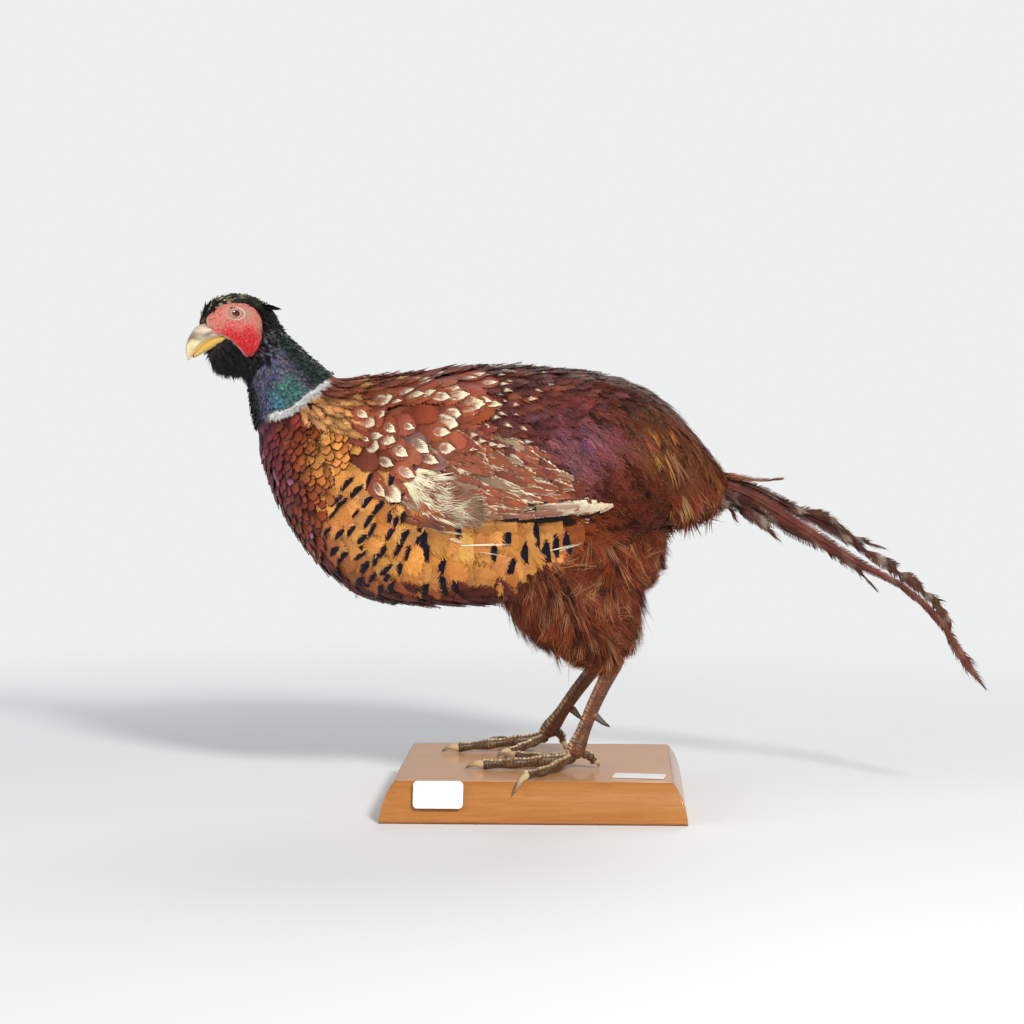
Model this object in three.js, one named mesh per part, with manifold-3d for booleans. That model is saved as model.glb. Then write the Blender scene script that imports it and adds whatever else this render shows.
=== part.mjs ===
// A taxidermy cock pheasant standing on a bevelled wooden plinth, life size, in millimetres, +Z up.
// The bird faces -X with its head turned towards -Y, so its own left side is its -Y side.
// The origin is the centre of the plinth's underside. Feathered pieces reach out to the feather tips.
import * as THREE from "three";
import { mergeVertices } from "three/addons/utils/BufferGeometryUtils.js";
import Module from "manifold-3d";

const wasm = await Module();
wasm.setup();

// ---------------------------------------------------------------- driving sizes
const GAP = 0.35; // between touching pieces
const JOIN = 1e-4; // corners nearer than this are one
const PLINTH = { width: 206.5, depth: 190, height: 27.5, bevel: 9.8 };
const BEVEL_ARC = { steepAtTop: 56, steepAtFoot: 88, steps: 5 }; // degrees below the level
const BIRD_Y = 8; // the bird's mid plane stands a little behind the plinth's
const HEAD = { x: -205.3, y: -12, yaw: 35 }; // skull centre, and its turn towards -Y in degrees
const EYE = { forward: 13, out: 9.3, z: 341.5, radius: 5.2 };
const LOT_LABEL = { size: [33.5, 18.8], corner: 3, x: -63.5, y: -93.2, z: 19.4 }; // on the front bevel
const TICKET = { size: [35, 17], corner: 0.8, x: 71, y: -63, turn: -8 }; // flat on the plinth's top
const CARD = 0.6; // a label's thickness
const SIDES = [
  { tag: "l", sign: -1 },
  { tag: "r", sign: 1 },
];

// ---------------------------------------------------------------- materials
const finish = (color, roughness, metalness = 0) =>
  new THREE.MeshStandardMaterial({ color, roughness, metalness });
const material = {
  head: finish("#1b2422", 0.55),
  wattle: finish("#c8443f", 0.6),
  bill: finish("#d9c58c", 0.4),
  eye: finish("#4a1d10", 0.1),
  neck: finish("#252c48", 0.45),
  trunk: finish("#8a4424", 0.6),
  rump: finish("#6d3326", 0.65),
  wing: finish("#8e5238", 0.65),
  flight: finish("#c9ab82", 0.7),
  fluff: finish("#7d4526", 0.9),
  tail: finish("#6a4234", 0.65),
  leg: finish("#7d5b3c", 0.5),
  claw: finish("#c9ac82", 0.4),
  spur: finish("#5d5148", 0.4),
  plinth: finish("#b5763f", 0.25),
  label: finish("#f2f2f0", 0.8),
};

// ---------------------------------------------------------------- geometry helpers
const vec = (x, y, z) => new THREE.Vector3(x, y, z);
const radians = THREE.MathUtils.degToRad;

// A closed surface through rings of equally many points, with a flat fan over each end ring.
function loft(rings) {
  const count = rings[0].length;
  const centre = (ring) => ring.reduce((sum, p) => sum.add(p), vec(0, 0, 0)).divideScalar(count);
  const points = [...rings.flat(), centre(rings[0]), centre(rings.at(-1))];
  const [firstCap, lastCap] = [points.length - 2, points.length - 1];
  const faces = [];
  for (let i = 0; i < count; i++) {
    const next = (i + 1) % count;
    faces.push(firstCap, next, i);
    const end = (rings.length - 1) * count;
    faces.push(lastCap, end + i, end + next);
    for (let r = 0; r + 1 < rings.length; r++) {
      const [a, b] = [r * count + i, r * count + next];
      faces.push(a, b, a + count, b, b + count, a + count);
    }
  }
  const geometry = new THREE.BufferGeometry().setFromPoints(points);
  geometry.setIndex(faces);
  return facingOut(geometry);
}

// The same geometry with its faces turned outwards.
function facingOut(geometry) {
  const position = geometry.getAttribute("position");
  const index = geometry.index.array;
  const corner = (i) => vec(0, 0, 0).fromBufferAttribute(position, index[i]);
  let volume = 0;
  for (let i = 0; i < index.length; i += 3) {
    volume += corner(i).dot(corner(i + 1).cross(corner(i + 2)));
  }
  if (volume < 0) index.reverse();
  return geometry;
}

// A geometry with shared corners and nothing but positions.
function joined(geometry) {
  const bare = geometry.clone();
  bare.deleteAttribute("normal");
  bare.deleteAttribute("uv");
  return mergeVertices(bare, JOIN);
}

function solid(geometry) {
  const merged = joined(geometry);
  return new wasm.Manifold(
    new wasm.Mesh({
      numProp: 3,
      vertProperties: merged.getAttribute("position").array,
      triVerts: new Uint32Array(merged.index.array),
    }),
  );
}

function geometryOf(body) {
  const mesh = body.getMesh();
  return new THREE.BufferGeometry()
    .setAttribute("position", new THREE.BufferAttribute(mesh.vertProperties, 3))
    .setIndex(new THREE.BufferAttribute(mesh.triVerts, 1));
}

// The largest body of a cut solid, so that no sliver stays with it.
function largest(body) {
  return body.decompose().reduce((best, b) => (b.volume() > best.volume() ? b : best));
}

function piece(name, shape, finishName) {
  const geometry = shape.isBufferGeometry ? shape : geometryOf(shape);
  geometry.computeVertexNormals();
  const mesh = new THREE.Mesh(geometry, material[finishName]);
  mesh.name = name;
  return mesh;
}

// A smooth curve from b to c, which have the neighbours a and d.
function catmull(a, b, c, d, t) {
  const square = 2 * a - 5 * b + 4 * c - d;
  const cube = 3 * b - a - 3 * c + d;
  return 0.5 * (2 * b + (c - a) * t + square * t * t + cube * t * t * t);
}

// The station at place t of a list, each of whose numbers runs through the list on a smooth curve.
function stationAt(list, t) {
  const i = Math.min(Math.floor(t), list.length - 2);
  const pick = (k) => list[Math.max(0, Math.min(list.length - 1, k))];
  const near = [pick(i - 1), pick(i), pick(i + 1), pick(i + 2)];
  return Object.fromEntries(
    Object.keys(list[0]).map((key) => [key, catmull(...near.map((s) => s[key]), t - i)]),
  );
}

// The point of an upright oval section. Angle 0 is its side, 90 its back and -90 its belly.
// A section runs from its belly point to its back point, is widest at the share `widest`, and grows by `out`.
function sectionPoint(s, angle, out = 0) {
  const [c, h] = [Math.cos(radians(angle)), Math.sin(radians(angle))];
  const rise = vec(s.backX - s.bellyX, 0, s.backZ - s.bellyZ);
  const height = rise.length();
  rise.normalize();
  const middle = vec(s.bellyX, 0, s.bellyZ).addScaledVector(rise, height * s.widest);
  const reach = height * (h > 0 ? 1 - s.widest : s.widest) + out;
  const round = (v) => Math.sign(v) * Math.abs(v) ** (2 / s.square);
  return middle.addScaledVector(rise, reach * round(h)).add(vec(0, (s.half + out) * round(c), 0));
}

function sectionRing(station, segments, out = 0) {
  return Array.from({ length: segments }, (_, i) => sectionPoint(station, (i * 360) / segments, out));
}

function sectionLoft(list, { steps, segments, out = 0 }) {
  const rings = Array.from({ length: steps + 1 }, (_, i) =>
    sectionRing(stationAt(list, (i * (list.length - 1)) / steps), segments, out),
  );
  return loft(rings);
}

const station = (backX, backZ, bellyX, bellyZ, half, widest = 0.5, square = 2) =>
  ({ backX, backZ, bellyX, bellyZ, half, widest, square });

// ---------------------------------------------------------------- neck, trunk and rump
// Back point x z, belly point x z, half width, share of the height at which it is widest, squareness.
const BODY = [
  station(-184.5, 337.5, -205, 306, 14.5), // inside the skull
  station(-177, 330, -205.5, 297, 17.5),
  station(-169, 322, -205, 286, 19),
  station(-156, 310, -202.5, 268, 22), // middle of the neck
  station(-142, 299.5, -199, 252, 28, 0.52), // white ring
  station(-128, 298.5, -193.5, 232, 40, 0.52, 2.1), // shoulder
  station(-110, 299.5, -184, 207, 52, 0.52, 2.15), // crop
  station(-88, 302, -164, 175, 61, 0.52, 2.2), // breast
  station(-62, 305.5, -128, 142.5, 67, 0.52, 2.25),
  station(-32, 307.5, -80, 135.5, 69.5, 0.52, 2.25), // deepest
  station(2, 306.5, -25, 137, 69, 0.53, 2.25),
  station(35, 303, 24, 146, 66, 0.55, 2.2), // loin
  station(68, 294, 66, 171, 58, 0.55, 2.1), // rump
  station(93, 277.5, 93, 194, 45, 0.53),
  station(114, 253.5, 113, 200.5, 30, 0.53),
  station(128, 236, 126, 207, 17, 0.52),
  station(134, 227, 132, 214, 8),
];
const RING = station(-140, 299.5, -201.5, 262, 0); // the white neck ring
const COVERTS = station(92.5, 278, 92.5, 194, 0); // where the tail coverts begin
const BODY_MESH = { steps: 30, segments: 22 };
const wholeBody = solid(sectionLoft(BODY, BODY_MESH));
const grownBody = solid(sectionLoft(BODY, { ...BODY_MESH, out: GAP }));

// A thin slab through both ends of a section, for parting the body there.
function cutAlong({ backX, backZ, bellyX, bellyZ }) {
  const box = new THREE.BoxGeometry(GAP, 300, 300);
  box.rotateY(Math.atan2(backX - bellyX, backZ - bellyZ));
  return solid(box.translate((backX + bellyX) / 2, 0, (backZ + bellyZ) / 2));
}

const middleX = (body) => (body.boundingBox().min[0] + body.boundingBox().max[0]) / 2;
const [neckBody, trunkBody, rumpBody] = wholeBody
  .subtract(cutAlong(RING))
  .subtract(cutAlong(COVERTS))
  .decompose()
  .sort((a, b) => middleX(a) - middleX(b));

// ---------------------------------------------------------------- wings
// Place along BODY, lowest and highest angle round it, and how far the wing stands out.
const WING = [
  { t: 7.05, low: 20, high: 33, out: 1.5 }, // bend of the wing
  { t: 7.45, low: 2, high: 52, out: 5.2 },
  { t: 8, low: -9, high: 59, out: 6.5 },
  { t: 8.7, low: -15, high: 55, out: 7.2 },
  { t: 9.4, low: -16, high: 39, out: 7.2 },
  { t: 10.1, low: -16, high: 19, out: 6.8 },
  { t: 10.7, low: -17, high: 4, out: 6 },
  { t: 11.15, low: -18.5, high: -6, out: 4.5 },
  { t: 11.52, low: -20.5, high: -15.5, out: 3 }, // tip
];
// The flight feathers show as a band along the lower edge, which widens to so many degrees.
const FLIGHT = { from: 2, band: 14, part: 0.5, thickness: 0.8 };
const WING_ROOT = { inner: GAP * 1.6, edge: GAP + 0.6 }; // how far its inside and its rim stand off the body

// A shell that hugs the body between two angles, with a rounded outer face.
function shell(places, sign, arcs) {
  const rings = places.map(({ t, low, high, out }) => {
    const here = stationAt(BODY, t);
    const at = (k) => low + ((high - low) * k) / arcs;
    const bulge = (k) => WING_ROOT.edge + out * Math.sin((Math.PI * (k + 0.25)) / (arcs + 0.5)) ** 0.6;
    const across = Array.from({ length: arcs + 1 }, (_, k) => k);
    const outer = across.map((k) => sectionPoint(here, at(k), bulge(k)));
    const inner = across.map((k) => sectionPoint(here, at(arcs - k), WING_ROOT.inner));
    return [...outer, ...inner].map((p) => vec(p.x, p.y * sign, p.z));
  });
  return loft(rings);
}

function wing({ tag, sign }) {
  const last = WING.length - 1;
  const steps = last * 1.5;
  const places = Array.from({ length: steps + 1 }, (_, i) => {
    const at = (i * last) / steps;
    const place = stationAt(WING, at);
    const share = THREE.MathUtils.smoothstep(at, FLIGHT.from - 0.8, FLIGHT.from + 3);
    return { ...place, at, top: place.low + Math.min(FLIGHT.band * share, (place.high - place.low) * 0.6) };
  });
  const hasFlight = (p) => p.at >= FLIGHT.from;
  const coverts = places.slice(0, -1).map((p) => ({ ...p, low: p.top + (hasFlight(p) ? FLIGHT.part : 0) }));
  const flight = places.filter(hasFlight).map((p) => ({ ...p, high: p.top, out: p.out * FLIGHT.thickness }));
  return [
    piece(`wing_coverts_${tag}`, shell(coverts, sign, 7), "wing"),
    piece(`wing_flight_${tag}`, shell(flight, sign, 3), "flight"),
  ];
}

// ---------------------------------------------------------------- thighs and vent
const THIGH = [
  // Front x, rear x, height z, distance from the mid plane, half width.
  { front: -14, rear: 72, z: 188, out: 34, half: 22 },
  { front: -22, rear: 76, z: 165, out: 35, half: 25 },
  { front: -27, rear: 76, z: 146, out: 35.5, half: 25.5 },
  { front: -20, rear: 75, z: 130, out: 35, half: 24 },
  { front: -5, rear: 72, z: 115, out: 34, half: 20 },
  { front: 16, rear: 62.5, z: 104, out: 32.5, half: 15 },
  { front: 34, rear: 58, z: 96, out: 31.5, half: 9.5 },
  { front: 42, rear: 57, z: 91, out: 31, half: 6.8 },
];
const VENT = [
  { front: 36, rear: 93, z: 203, out: 0, half: 34 },
  { front: 36, rear: 92, z: 186, out: 0, half: 38 },
  { front: 36, rear: 88.5, z: 167, out: 0, half: 35 },
  { front: 42, rear: 80.5, z: 152, out: 0, half: 27 },
  { front: 52, rear: 70, z: 144, out: 0, half: 14 },
];
const FAR_LEG_SHIFT = -9; // the right leg stands a little further forward

// An upright tuft of feathers, as a stack of level ovals.
function levelLoft(list, { sign = 1, shift = 0, steps, segments, grow = 0 }) {
  const rings = Array.from({ length: steps + 1 }, (_, i) => {
    const s = stationAt(list, (i * (list.length - 1)) / steps);
    const lean = shift * Math.min(1, Math.max(0, (list[2].z - s.z) / (list[2].z - list.at(-1).z)));
    const [middle, reach] = [(s.front + s.rear) / 2 + lean, (s.rear - s.front) / 2 + grow];
    return Array.from({ length: segments }, (_, k) => {
      const angle = (2 * Math.PI * k) / segments;
      return vec(middle + reach * Math.cos(angle), sign * s.out + (s.half + grow) * Math.sin(angle), s.z);
    });
  });
  return loft(rings);
}

function thigh({ sign }, grow = 0) {
  return solid(levelLoft(THIGH, { sign, shift: sign > 0 ? FAR_LEG_SHIFT : 0, steps: 9, segments: 14, grow }));
}

// ---------------------------------------------------------------- legs and feet
const FLOOR = PLINTH.height + GAP;
const FEET = {
  // Ankle, toe joint and spur in the bird's frame. Each toe runs middle, end, claw tip.
  l: {
    ankle: vec(52.5, -31.5, 100),
    knuckle: vec(26.5, -41, 39),
    spur: [vec(40.5, -38, 64.5), vec(51, -37, 56.5)],
    toes: {
      middle: [vec(-6, -44, 32.6), vec(-36, -46, 31.2), vec(-48.5, -47, 29)],
      outer: [vec(8, -70, 31.6), vec(-5, -91, 31.4), vec(-12.5, -103.5, 21.5)],
      inner: [vec(2, -18, 32), vec(-14, -3, 31.2), vec(-24, 3.5, 28.6)],
      hallux: [vec(36.5, -38, 36.5), vec(40, -36.5, 32.5), vec(43.5, -35.5, 28.6)],
    },
  },
  r: {
    ankle: vec(45.5, 31.5, 98),
    knuckle: vec(6, 39.5, 41.5),
    spur: [vec(24, 37.5, 58), vec(31.5, 36, 51)],
    toes: {
      middle: [vec(-29, 34, 34), vec(-58, 29.5, 31.4), vec(-70, 28, 28.8)],
      inner: [vec(-11, 23, 33.4), vec(-21, 13, 31.2), vec(-29, 8, 28.6)],
      outer: [vec(-14, 57, 33), vec(-30, 67, 31.2), vec(-40, 72.5, 28.8)],
      hallux: [vec(15, 38, 40.5), vec(17, 37.5, 35), vec(18.5, 37, 28.8)],
    },
  },
};
const TOE = { root: vec(-2, -0.5, -3.5), radius: 3.3, tip: 2.6, pad: 0.35, pads: 3, steps: 6, segments: 7 };
const SLIM = { middle: 1.05, outer: 0.92, inner: 0.92, hallux: 0.72 };
const HALLUX_ROOT = vec(4, 0.5, 0);
const TARSUS = { ankle: 4.5, knuckle: 3.7, ankleKnob: 1.7, knuckleKnob: 1.5, depth: 1.18 };
const SOLE = vec(-2, -0.5, -6); // from the toe joint
const CLAW = { radius: 2.2, tip: 0.3, arch: 1.6 };
const SPUR = { radius: 3.1, tip: 0.35, droop: vec(0.8, 0, -1.2) };
const HORN = { steps: 4, segments: 6 };

// A tube through a smooth path, whose radius is a function of the share of its length.
function tube(path, radius, { steps, segments, flatten = 1, up = vec(0, 0, 1) }) {
  const curve = new THREE.CatmullRomCurve3(path, false, "centripetal");
  const rings = Array.from({ length: steps + 1 }, (_, i) => {
    const share = i / steps;
    const along = curve.getTangent(share);
    const side = new THREE.Vector3().crossVectors(up, along).normalize();
    const rise = new THREE.Vector3().crossVectors(along, side);
    return Array.from({ length: segments }, (_, k) => {
      const angle = (2 * Math.PI * k) / segments;
      return curve
        .getPoint(share)
        .addScaledVector(side, radius(share) * Math.cos(angle))
        .addScaledVector(rise, radius(share) * flatten * Math.sin(angle));
    });
  });
  return loft(rings);
}

function tarsus({ ankle, knuckle }, grow = 0) {
  const between = (share, forward) => ankle.clone().lerp(knuckle, share).add(vec(forward, 0, 0));
  const sole = knuckle.clone().add(SOLE);
  const path = [between(-0.06, 0), between(0.12, 0.5), between(0.5, -0.5), between(0.85, 0), knuckle, sole];
  const knob = (share, at, spread) => Math.exp(-(((share - at) / spread) ** 2));
  const radius = (share) => {
    const shaft = THREE.MathUtils.lerp(TARSUS.ankle, TARSUS.knuckle, share);
    const knobs = TARSUS.ankleKnob * knob(share, 0, 0.16) + TARSUS.knuckleKnob * knob(share, 0.88, 0.13);
    return shaft + knobs + grow;
  };
  return solid(tube(path, radius, { steps: 13, segments: 10, flatten: TARSUS.depth, up: vec(1, 0, 0) }));
}

// A toe swells at each of its pads and ends square, where the claw meets it.
function toe(root, [middle, end], slim, grow = 0) {
  const radius = (share) => {
    const pads = TOE.pad * Math.cos(share * Math.PI * 2 * TOE.pads);
    return slim * (THREE.MathUtils.lerp(TOE.radius, TOE.tip, share) + pads) + grow;
  };
  return solid(tube([root, middle, end], radius, TOE));
}

function claw([middle, end, tip], slim) {
  const along = end.clone().sub(middle).normalize();
  const start = end.clone().addScaledVector(along, GAP);
  const arch = start.clone().lerp(tip, 0.5).add(vec(0, 0, CLAW.arch));
  const radius = (share) => slim * (CLAW.radius * (1 - share) ** 0.8 + CLAW.tip);
  return solid(tube([start, arch, tip], radius, HORN));
}

function spur([root, tip]) {
  const middle = root.clone().lerp(tip, 0.5).add(SPUR.droop);
  return solid(tube([root, middle, tip], (share) => SPUR.radius * (1 - share) ** 0.9 + SPUR.tip, HORN));
}

// Each piece is cut clear of those before it, from the shank down to the last claw.
function leg({ tag, sign }) {
  const foot = FEET[tag];
  const shank = largest(tarsus(foot).subtract(thigh({ sign }, GAP)));
  let taken = tarsus(foot, GAP);
  const pieces = [
    piece(`tarsus_${tag}`, shank, "leg"),
    piece(`spur_${tag}`, largest(spur(foot.spur).subtract(taken)), "spur"),
  ];
  for (const [name, points] of Object.entries(foot.toes)) {
    const slim = SLIM[name];
    const root = foot.knuckle.clone().add(name === "hallux" ? HALLUX_ROOT : TOE.root);
    pieces.push(piece(`toe_${name}_${tag}`, largest(toe(root, points, slim).subtract(taken)), "leg"));
    taken = taken.add(toe(root, points, slim, GAP));
    pieces.push(piece(`claw_${name}_${tag}`, largest(claw(points, slim).subtract(taken)), "claw"));
  }
  return pieces;
}

// ---------------------------------------------------------------- head
// Stations from the bill to the nape, in the head's own frame: x is minus the distance forward of its centre.
const SKULL = [
  station(-35.2, 335.5, -31.5, 321, 5, 0.5),
  station(-29.5, 346, -27.5, 309, 8, 0.6),
  station(-20.5, 352.8, -21, 300, 11.2, 0.62),
  station(-10, 355.6, -11, 298.5, 14.2, 0.58),
  station(0, 355.8, -2, 298.5, 16.4, 0.53),
  station(10, 352.5, 7, 298, 17.5, 0.5),
  station(19, 346.5, 15, 298, 16, 0.5),
  station(25.5, 337, 21, 302, 11, 0.5),
];
const BILL_UPPER = [
  station(-24, 335, -12.5, 326.5, 13, 0.1),
  station(-31, 334.5, -18.5, 325.4, 10.6, 0.14),
  station(-36.2, 332, -26, 322.6, 7.4, 0.22),
  station(-40.2, 327.5, -31.5, 319.2, 5.5, 0.3),
  station(-43.2, 321.5, -36.5, 315, 4.1, 0.35),
  station(-44.3, 315.5, -40, 311.8, 2.5, 0.4),
  station(-43.2, 310, -42.2, 309.2, 0.7, 0.5),
];
const BILL_LOWER = [
  station(-12.5, 328.5, -9.5, 321.5, 12.6, 0.7),
  station(-19.5, 327.5, -16.5, 319.8, 10.2, 0.7),
  station(-27, 325, -24, 317.4, 6.8, 0.7),
  station(-32.5, 321.5, -30, 314.8, 4.8, 0.65),
  station(-37.2, 316.6, -35.4, 312, 3, 0.6),
  station(-39.2, 313, -38.2, 310.8, 1.2, 0.6),
];
// Corners of the bare red face seen from its side, as distance forward and height.
const FACE = [
  [31.2, 335.5],
  [28, 342],
  [20, 347.7],
  [10, 348.8],
  [0, 347.3],
  [-5.8, 340],
  [-6.3, 330],
  [-3.6, 317.5],
  [2, 310.3],
  [10.6, 317.5],
  [20, 325.3],
  [27, 327.6],
];
const FACE_PROUD = 1.6; // how far the bare skin stands proud of the skull
const FACE_REACH = [4, 22]; // from the mid plane
const TUFT = { from: vec(12, 9.5, 346.5), to: vec(24.5, 9.5, 344.5), radius: 3.4, tip: 0.4 };
const SKULL_MESH = { steps: 10, segments: 18 };
const BILL_MESH = { steps: 9, segments: 12 };

function closedShape(corners) {
  const curve = new THREE.CatmullRomCurve3(corners.map(([f, z]) => vec(-f, z, 0)), true);
  const points = curve.getPoints(corners.length * 2).slice(0, -1);
  return new THREE.Shape(points.map((p) => new THREE.Vector2(p.x, p.y)));
}

function faceBlock(sign) {
  const [near, far] = FACE_REACH;
  const block = new THREE.ExtrudeGeometry(closedShape(FACE), { depth: far - near, bevelEnabled: false });
  return solid(block.rotateX(Math.PI / 2).translate(0, sign < 0 ? -near : far, 0));
}

function earTuft(sign) {
  const [from, to] = [TUFT.from, TUFT.to].map((p) => vec(p.x, p.y * sign, p.z));
  const radius = (share) => TUFT.radius * (1 - share) ** 0.6 + TUFT.tip;
  return solid(tube([from, from.clone().lerp(to, 0.6), to], radius, HORN));
}

function eyeball(sign, radius) {
  const ball = new THREE.SphereGeometry(radius, 14, 8);
  return solid(ball.translate(-EYE.forward, sign * EYE.out, EYE.z));
}

const skull = (out) => solid(sectionLoft(SKULL, { ...SKULL_MESH, out }));
const upperBill = (out) => solid(sectionLoft(BILL_UPPER, { ...BILL_MESH, out }));
const lowerBill = (out) => solid(sectionLoft(BILL_LOWER, { ...BILL_MESH, out }));

function headPieces() {
  const bills = upperBill(GAP).add(lowerBill(GAP));
  const tufts = SIDES.map(({ tag, sign }) =>
    piece(`ear_tuft_${tag}`, largest(earTuft(sign).subtract(skull(GAP))), "head"),
  );
  const eyes = SIDES.map(({ tag, sign }) => piece(`eye_${tag}`, eyeball(sign, EYE.radius), "eye"));
  const sockets = eyeball(-1, EYE.radius + GAP).add(eyeball(1, EYE.radius + GAP));
  const taken = skull(GAP).add(bills).add(sockets);
  const faces = SIDES.map(({ tag, sign }) => {
    const face = faceBlock(sign).intersect(skull(FACE_PROUD)).subtract(taken);
    return piece(`wattle_${tag}`, largest(face), "wattle");
  });
  return [
    piece("head", largest(skull(0).subtract(bills).subtract(sockets)), "head"),
    piece("bill_upper", upperBill(0), "bill"),
    piece("bill_lower", largest(lowerBill(0).subtract(upperBill(GAP))), "bill"),
    ...eyes,
    ...faces,
    ...tufts,
  ];
}

// ---------------------------------------------------------------- tail
// Centre line x z from root to tip, distance from the mid plane, half widths along it, and roll in degrees.
const TAIL = [
  {
    name: "main_l",
    line: [
      [116, 228], [150, 213.5], [187, 191], [222, 169],
      [257, 149.5], [281.5, 126], [297, 101.5], [313.5, 79.3],
    ],
    y: -5,
    half: [3, 5.5, 6, 4.6, 3.2, 3, 3.6, 5.4, 0.5],
    roll: 10,
  },
  {
    name: "upper_l",
    line: [[116, 231], [152, 220], [181.5, 205], [204, 198.5], [218, 189.4]],
    y: -1,
    half: [3, 3.2, 4, 3.2, 0.5],
    roll: 18,
  },
  {
    name: "upper_r",
    line: [
      [116, 230], [157, 215.5], [197, 196], [225.4, 178.6],
      [250, 163], [269, 149], [285, 131.4], [290.5, 113.5],
    ],
    y: 3,
    half: [3, 3.4, 3.6, 3.4, 4.6, 3.6, 5, 0.5],
    roll: -16,
  },
  {
    name: "broken_r",
    line: [[118, 228], [160, 212], [200, 195.5], [228, 183], [244, 177]],
    y: 8,
    half: [3, 3.6, 3.4, 2.4, 0.5],
    roll: -20,
  },
  {
    name: "low_l",
    line: [[112, 224], [133, 215], [147, 204.5], [159, 192.5], [169.5, 183.4]],
    y: -9.5,
    half: [4, 5, 4.6, 3.6, 0.5],
    roll: 16,
  },
  {
    name: "low_r",
    line: [[114, 226], [133, 217.5], [165, 198], [200, 179], [222, 165], [239.3, 146.5]],
    y: 11,
    half: [4, 5, 5.4, 4.2, 3.6, 0.5],
    roll: -18,
  },
  {
    name: "short_l",
    line: [[108, 220], [125, 212], [134, 205], [139.5, 196.6]],
    y: -14,
    half: [4, 4.4, 3, 0.5],
    roll: 20,
  },
  {
    name: "short_r",
    line: [[108, 222], [130, 213], [146, 203], [160, 190]],
    y: 15,
    half: [4, 5, 3.6, 0.5],
    roll: -22,
  },
  {
    name: "stray",
    line: [[118, 231], [133, 228.6], [157, 225.2], [171.4, 227.1]],
    y: -6,
    half: [1.4, 1.4, 1.1, 0.5],
    roll: 40,
  },
];
const BLADE = { edge: 0.3, ridge: 0.7 }; // half thickness of a tail feather

// A flat feather blade with a low ridge along its middle, standing on edge and rolled about its own line.
function blade({ line, y, half, roll }) {
  const curve = new THREE.CatmullRomCurve3(line.map(([x, z]) => vec(x, y, z)), false, "centripetal");
  const steps = (line.length - 1) * 2;
  const widths = half.map((w) => ({ w }));
  const rings = Array.from({ length: steps + 1 }, (_, i) => {
    const share = i / steps;
    const along = curve.getTangent(share);
    const wide = new THREE.Vector3().crossVectors(along, vec(0, 1, 0)).applyAxisAngle(along, radians(roll));
    const face = new THREE.Vector3().crossVectors(along, wide);
    const w = Math.max(BLADE.edge, stationAt(widths, share * (half.length - 1)).w);
    const upperFace = [[w, BLADE.edge], [0, BLADE.ridge], [-w, BLADE.edge]];
    const lowerFace = upperFace.map(([a, b]) => [-a, -b]);
    return [...upperFace, ...lowerFace].map(([a, b]) =>
      curve.getPoint(share).addScaledVector(wide, a).addScaledVector(face, b),
    );
  });
  return loft(rings);
}

// ---------------------------------------------------------------- plinth and labels
// The bevel's face is an arc that starts steep under the top and ends upright at the bottom.
function bevelPoint(share) {
  const [start, end] = [radians(BEVEL_ARC.steepAtTop), radians(BEVEL_ARC.steepAtFoot)];
  const at = (angle) => [Math.sin(angle), -Math.cos(angle)];
  const [from, to, here] = [at(start), at(end), at(start + (end - start) * share)];
  const inset = PLINTH.bevel * (1 - (here[0] - from[0]) / (to[0] - from[0]));
  const drop = (here[1] - from[1]) / (to[1] - from[1]);
  return { inset, z: PLINTH.height * (1 - drop) };
}

function plinth() {
  const rings = Array.from({ length: BEVEL_ARC.steps + 1 }, (_, i) => {
    const { inset, z } = bevelPoint(1 - i / BEVEL_ARC.steps);
    const [x, y] = [PLINTH.width / 2 - inset, PLINTH.depth / 2 - inset];
    return [vec(-x, -y, z), vec(x, -y, z), vec(x, y, z), vec(-x, y, z)];
  });
  return loft(rings);
}

function card({ size: [width, height], corner }) {
  const [x, y] = [width / 2 - corner, height / 2 - corner];
  const quarter = Math.PI / 2;
  const shape = new THREE.Shape();
  shape.absarc(x, y, corner, 0, quarter);
  shape.absarc(-x, y, corner, quarter, 2 * quarter);
  shape.absarc(-x, -y, corner, 2 * quarter, 3 * quarter);
  shape.absarc(x, -y, corner, 3 * quarter, 4 * quarter);
  return new THREE.ExtrudeGeometry(shape, { depth: CARD, bevelEnabled: false, curveSegments: 3 });
}

function labels() {
  const [high, low] = [bevelPoint(0.1), bevelPoint(0.7)];
  const lot = piece("label_lot", card(LOT_LABEL), "label");
  lot.rotation.x = Math.atan2(high.z - low.z, high.inset - low.inset);
  lot.position.set(LOT_LABEL.x, LOT_LABEL.y, LOT_LABEL.z);
  const ticket = piece("label_ticket", card(TICKET), "label");
  ticket.position.set(TICKET.x, TICKET.y, FLOOR);
  ticket.rotation.z = radians(TICKET.turn);
  return [lot, ticket];
}

// ---------------------------------------------------------------- the model
const model = new THREE.Group();
model.add(piece("plinth", plinth(), "plinth"), ...labels());

const bird = new THREE.Group();
bird.position.y = BIRD_Y;
model.add(bird);

const head = new THREE.Group();
head.position.set(HEAD.x, HEAD.y, 0);
head.rotation.z = radians(HEAD.yaw);
head.updateMatrix();
bird.add(head);
head.add(...headPieces());

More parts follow.
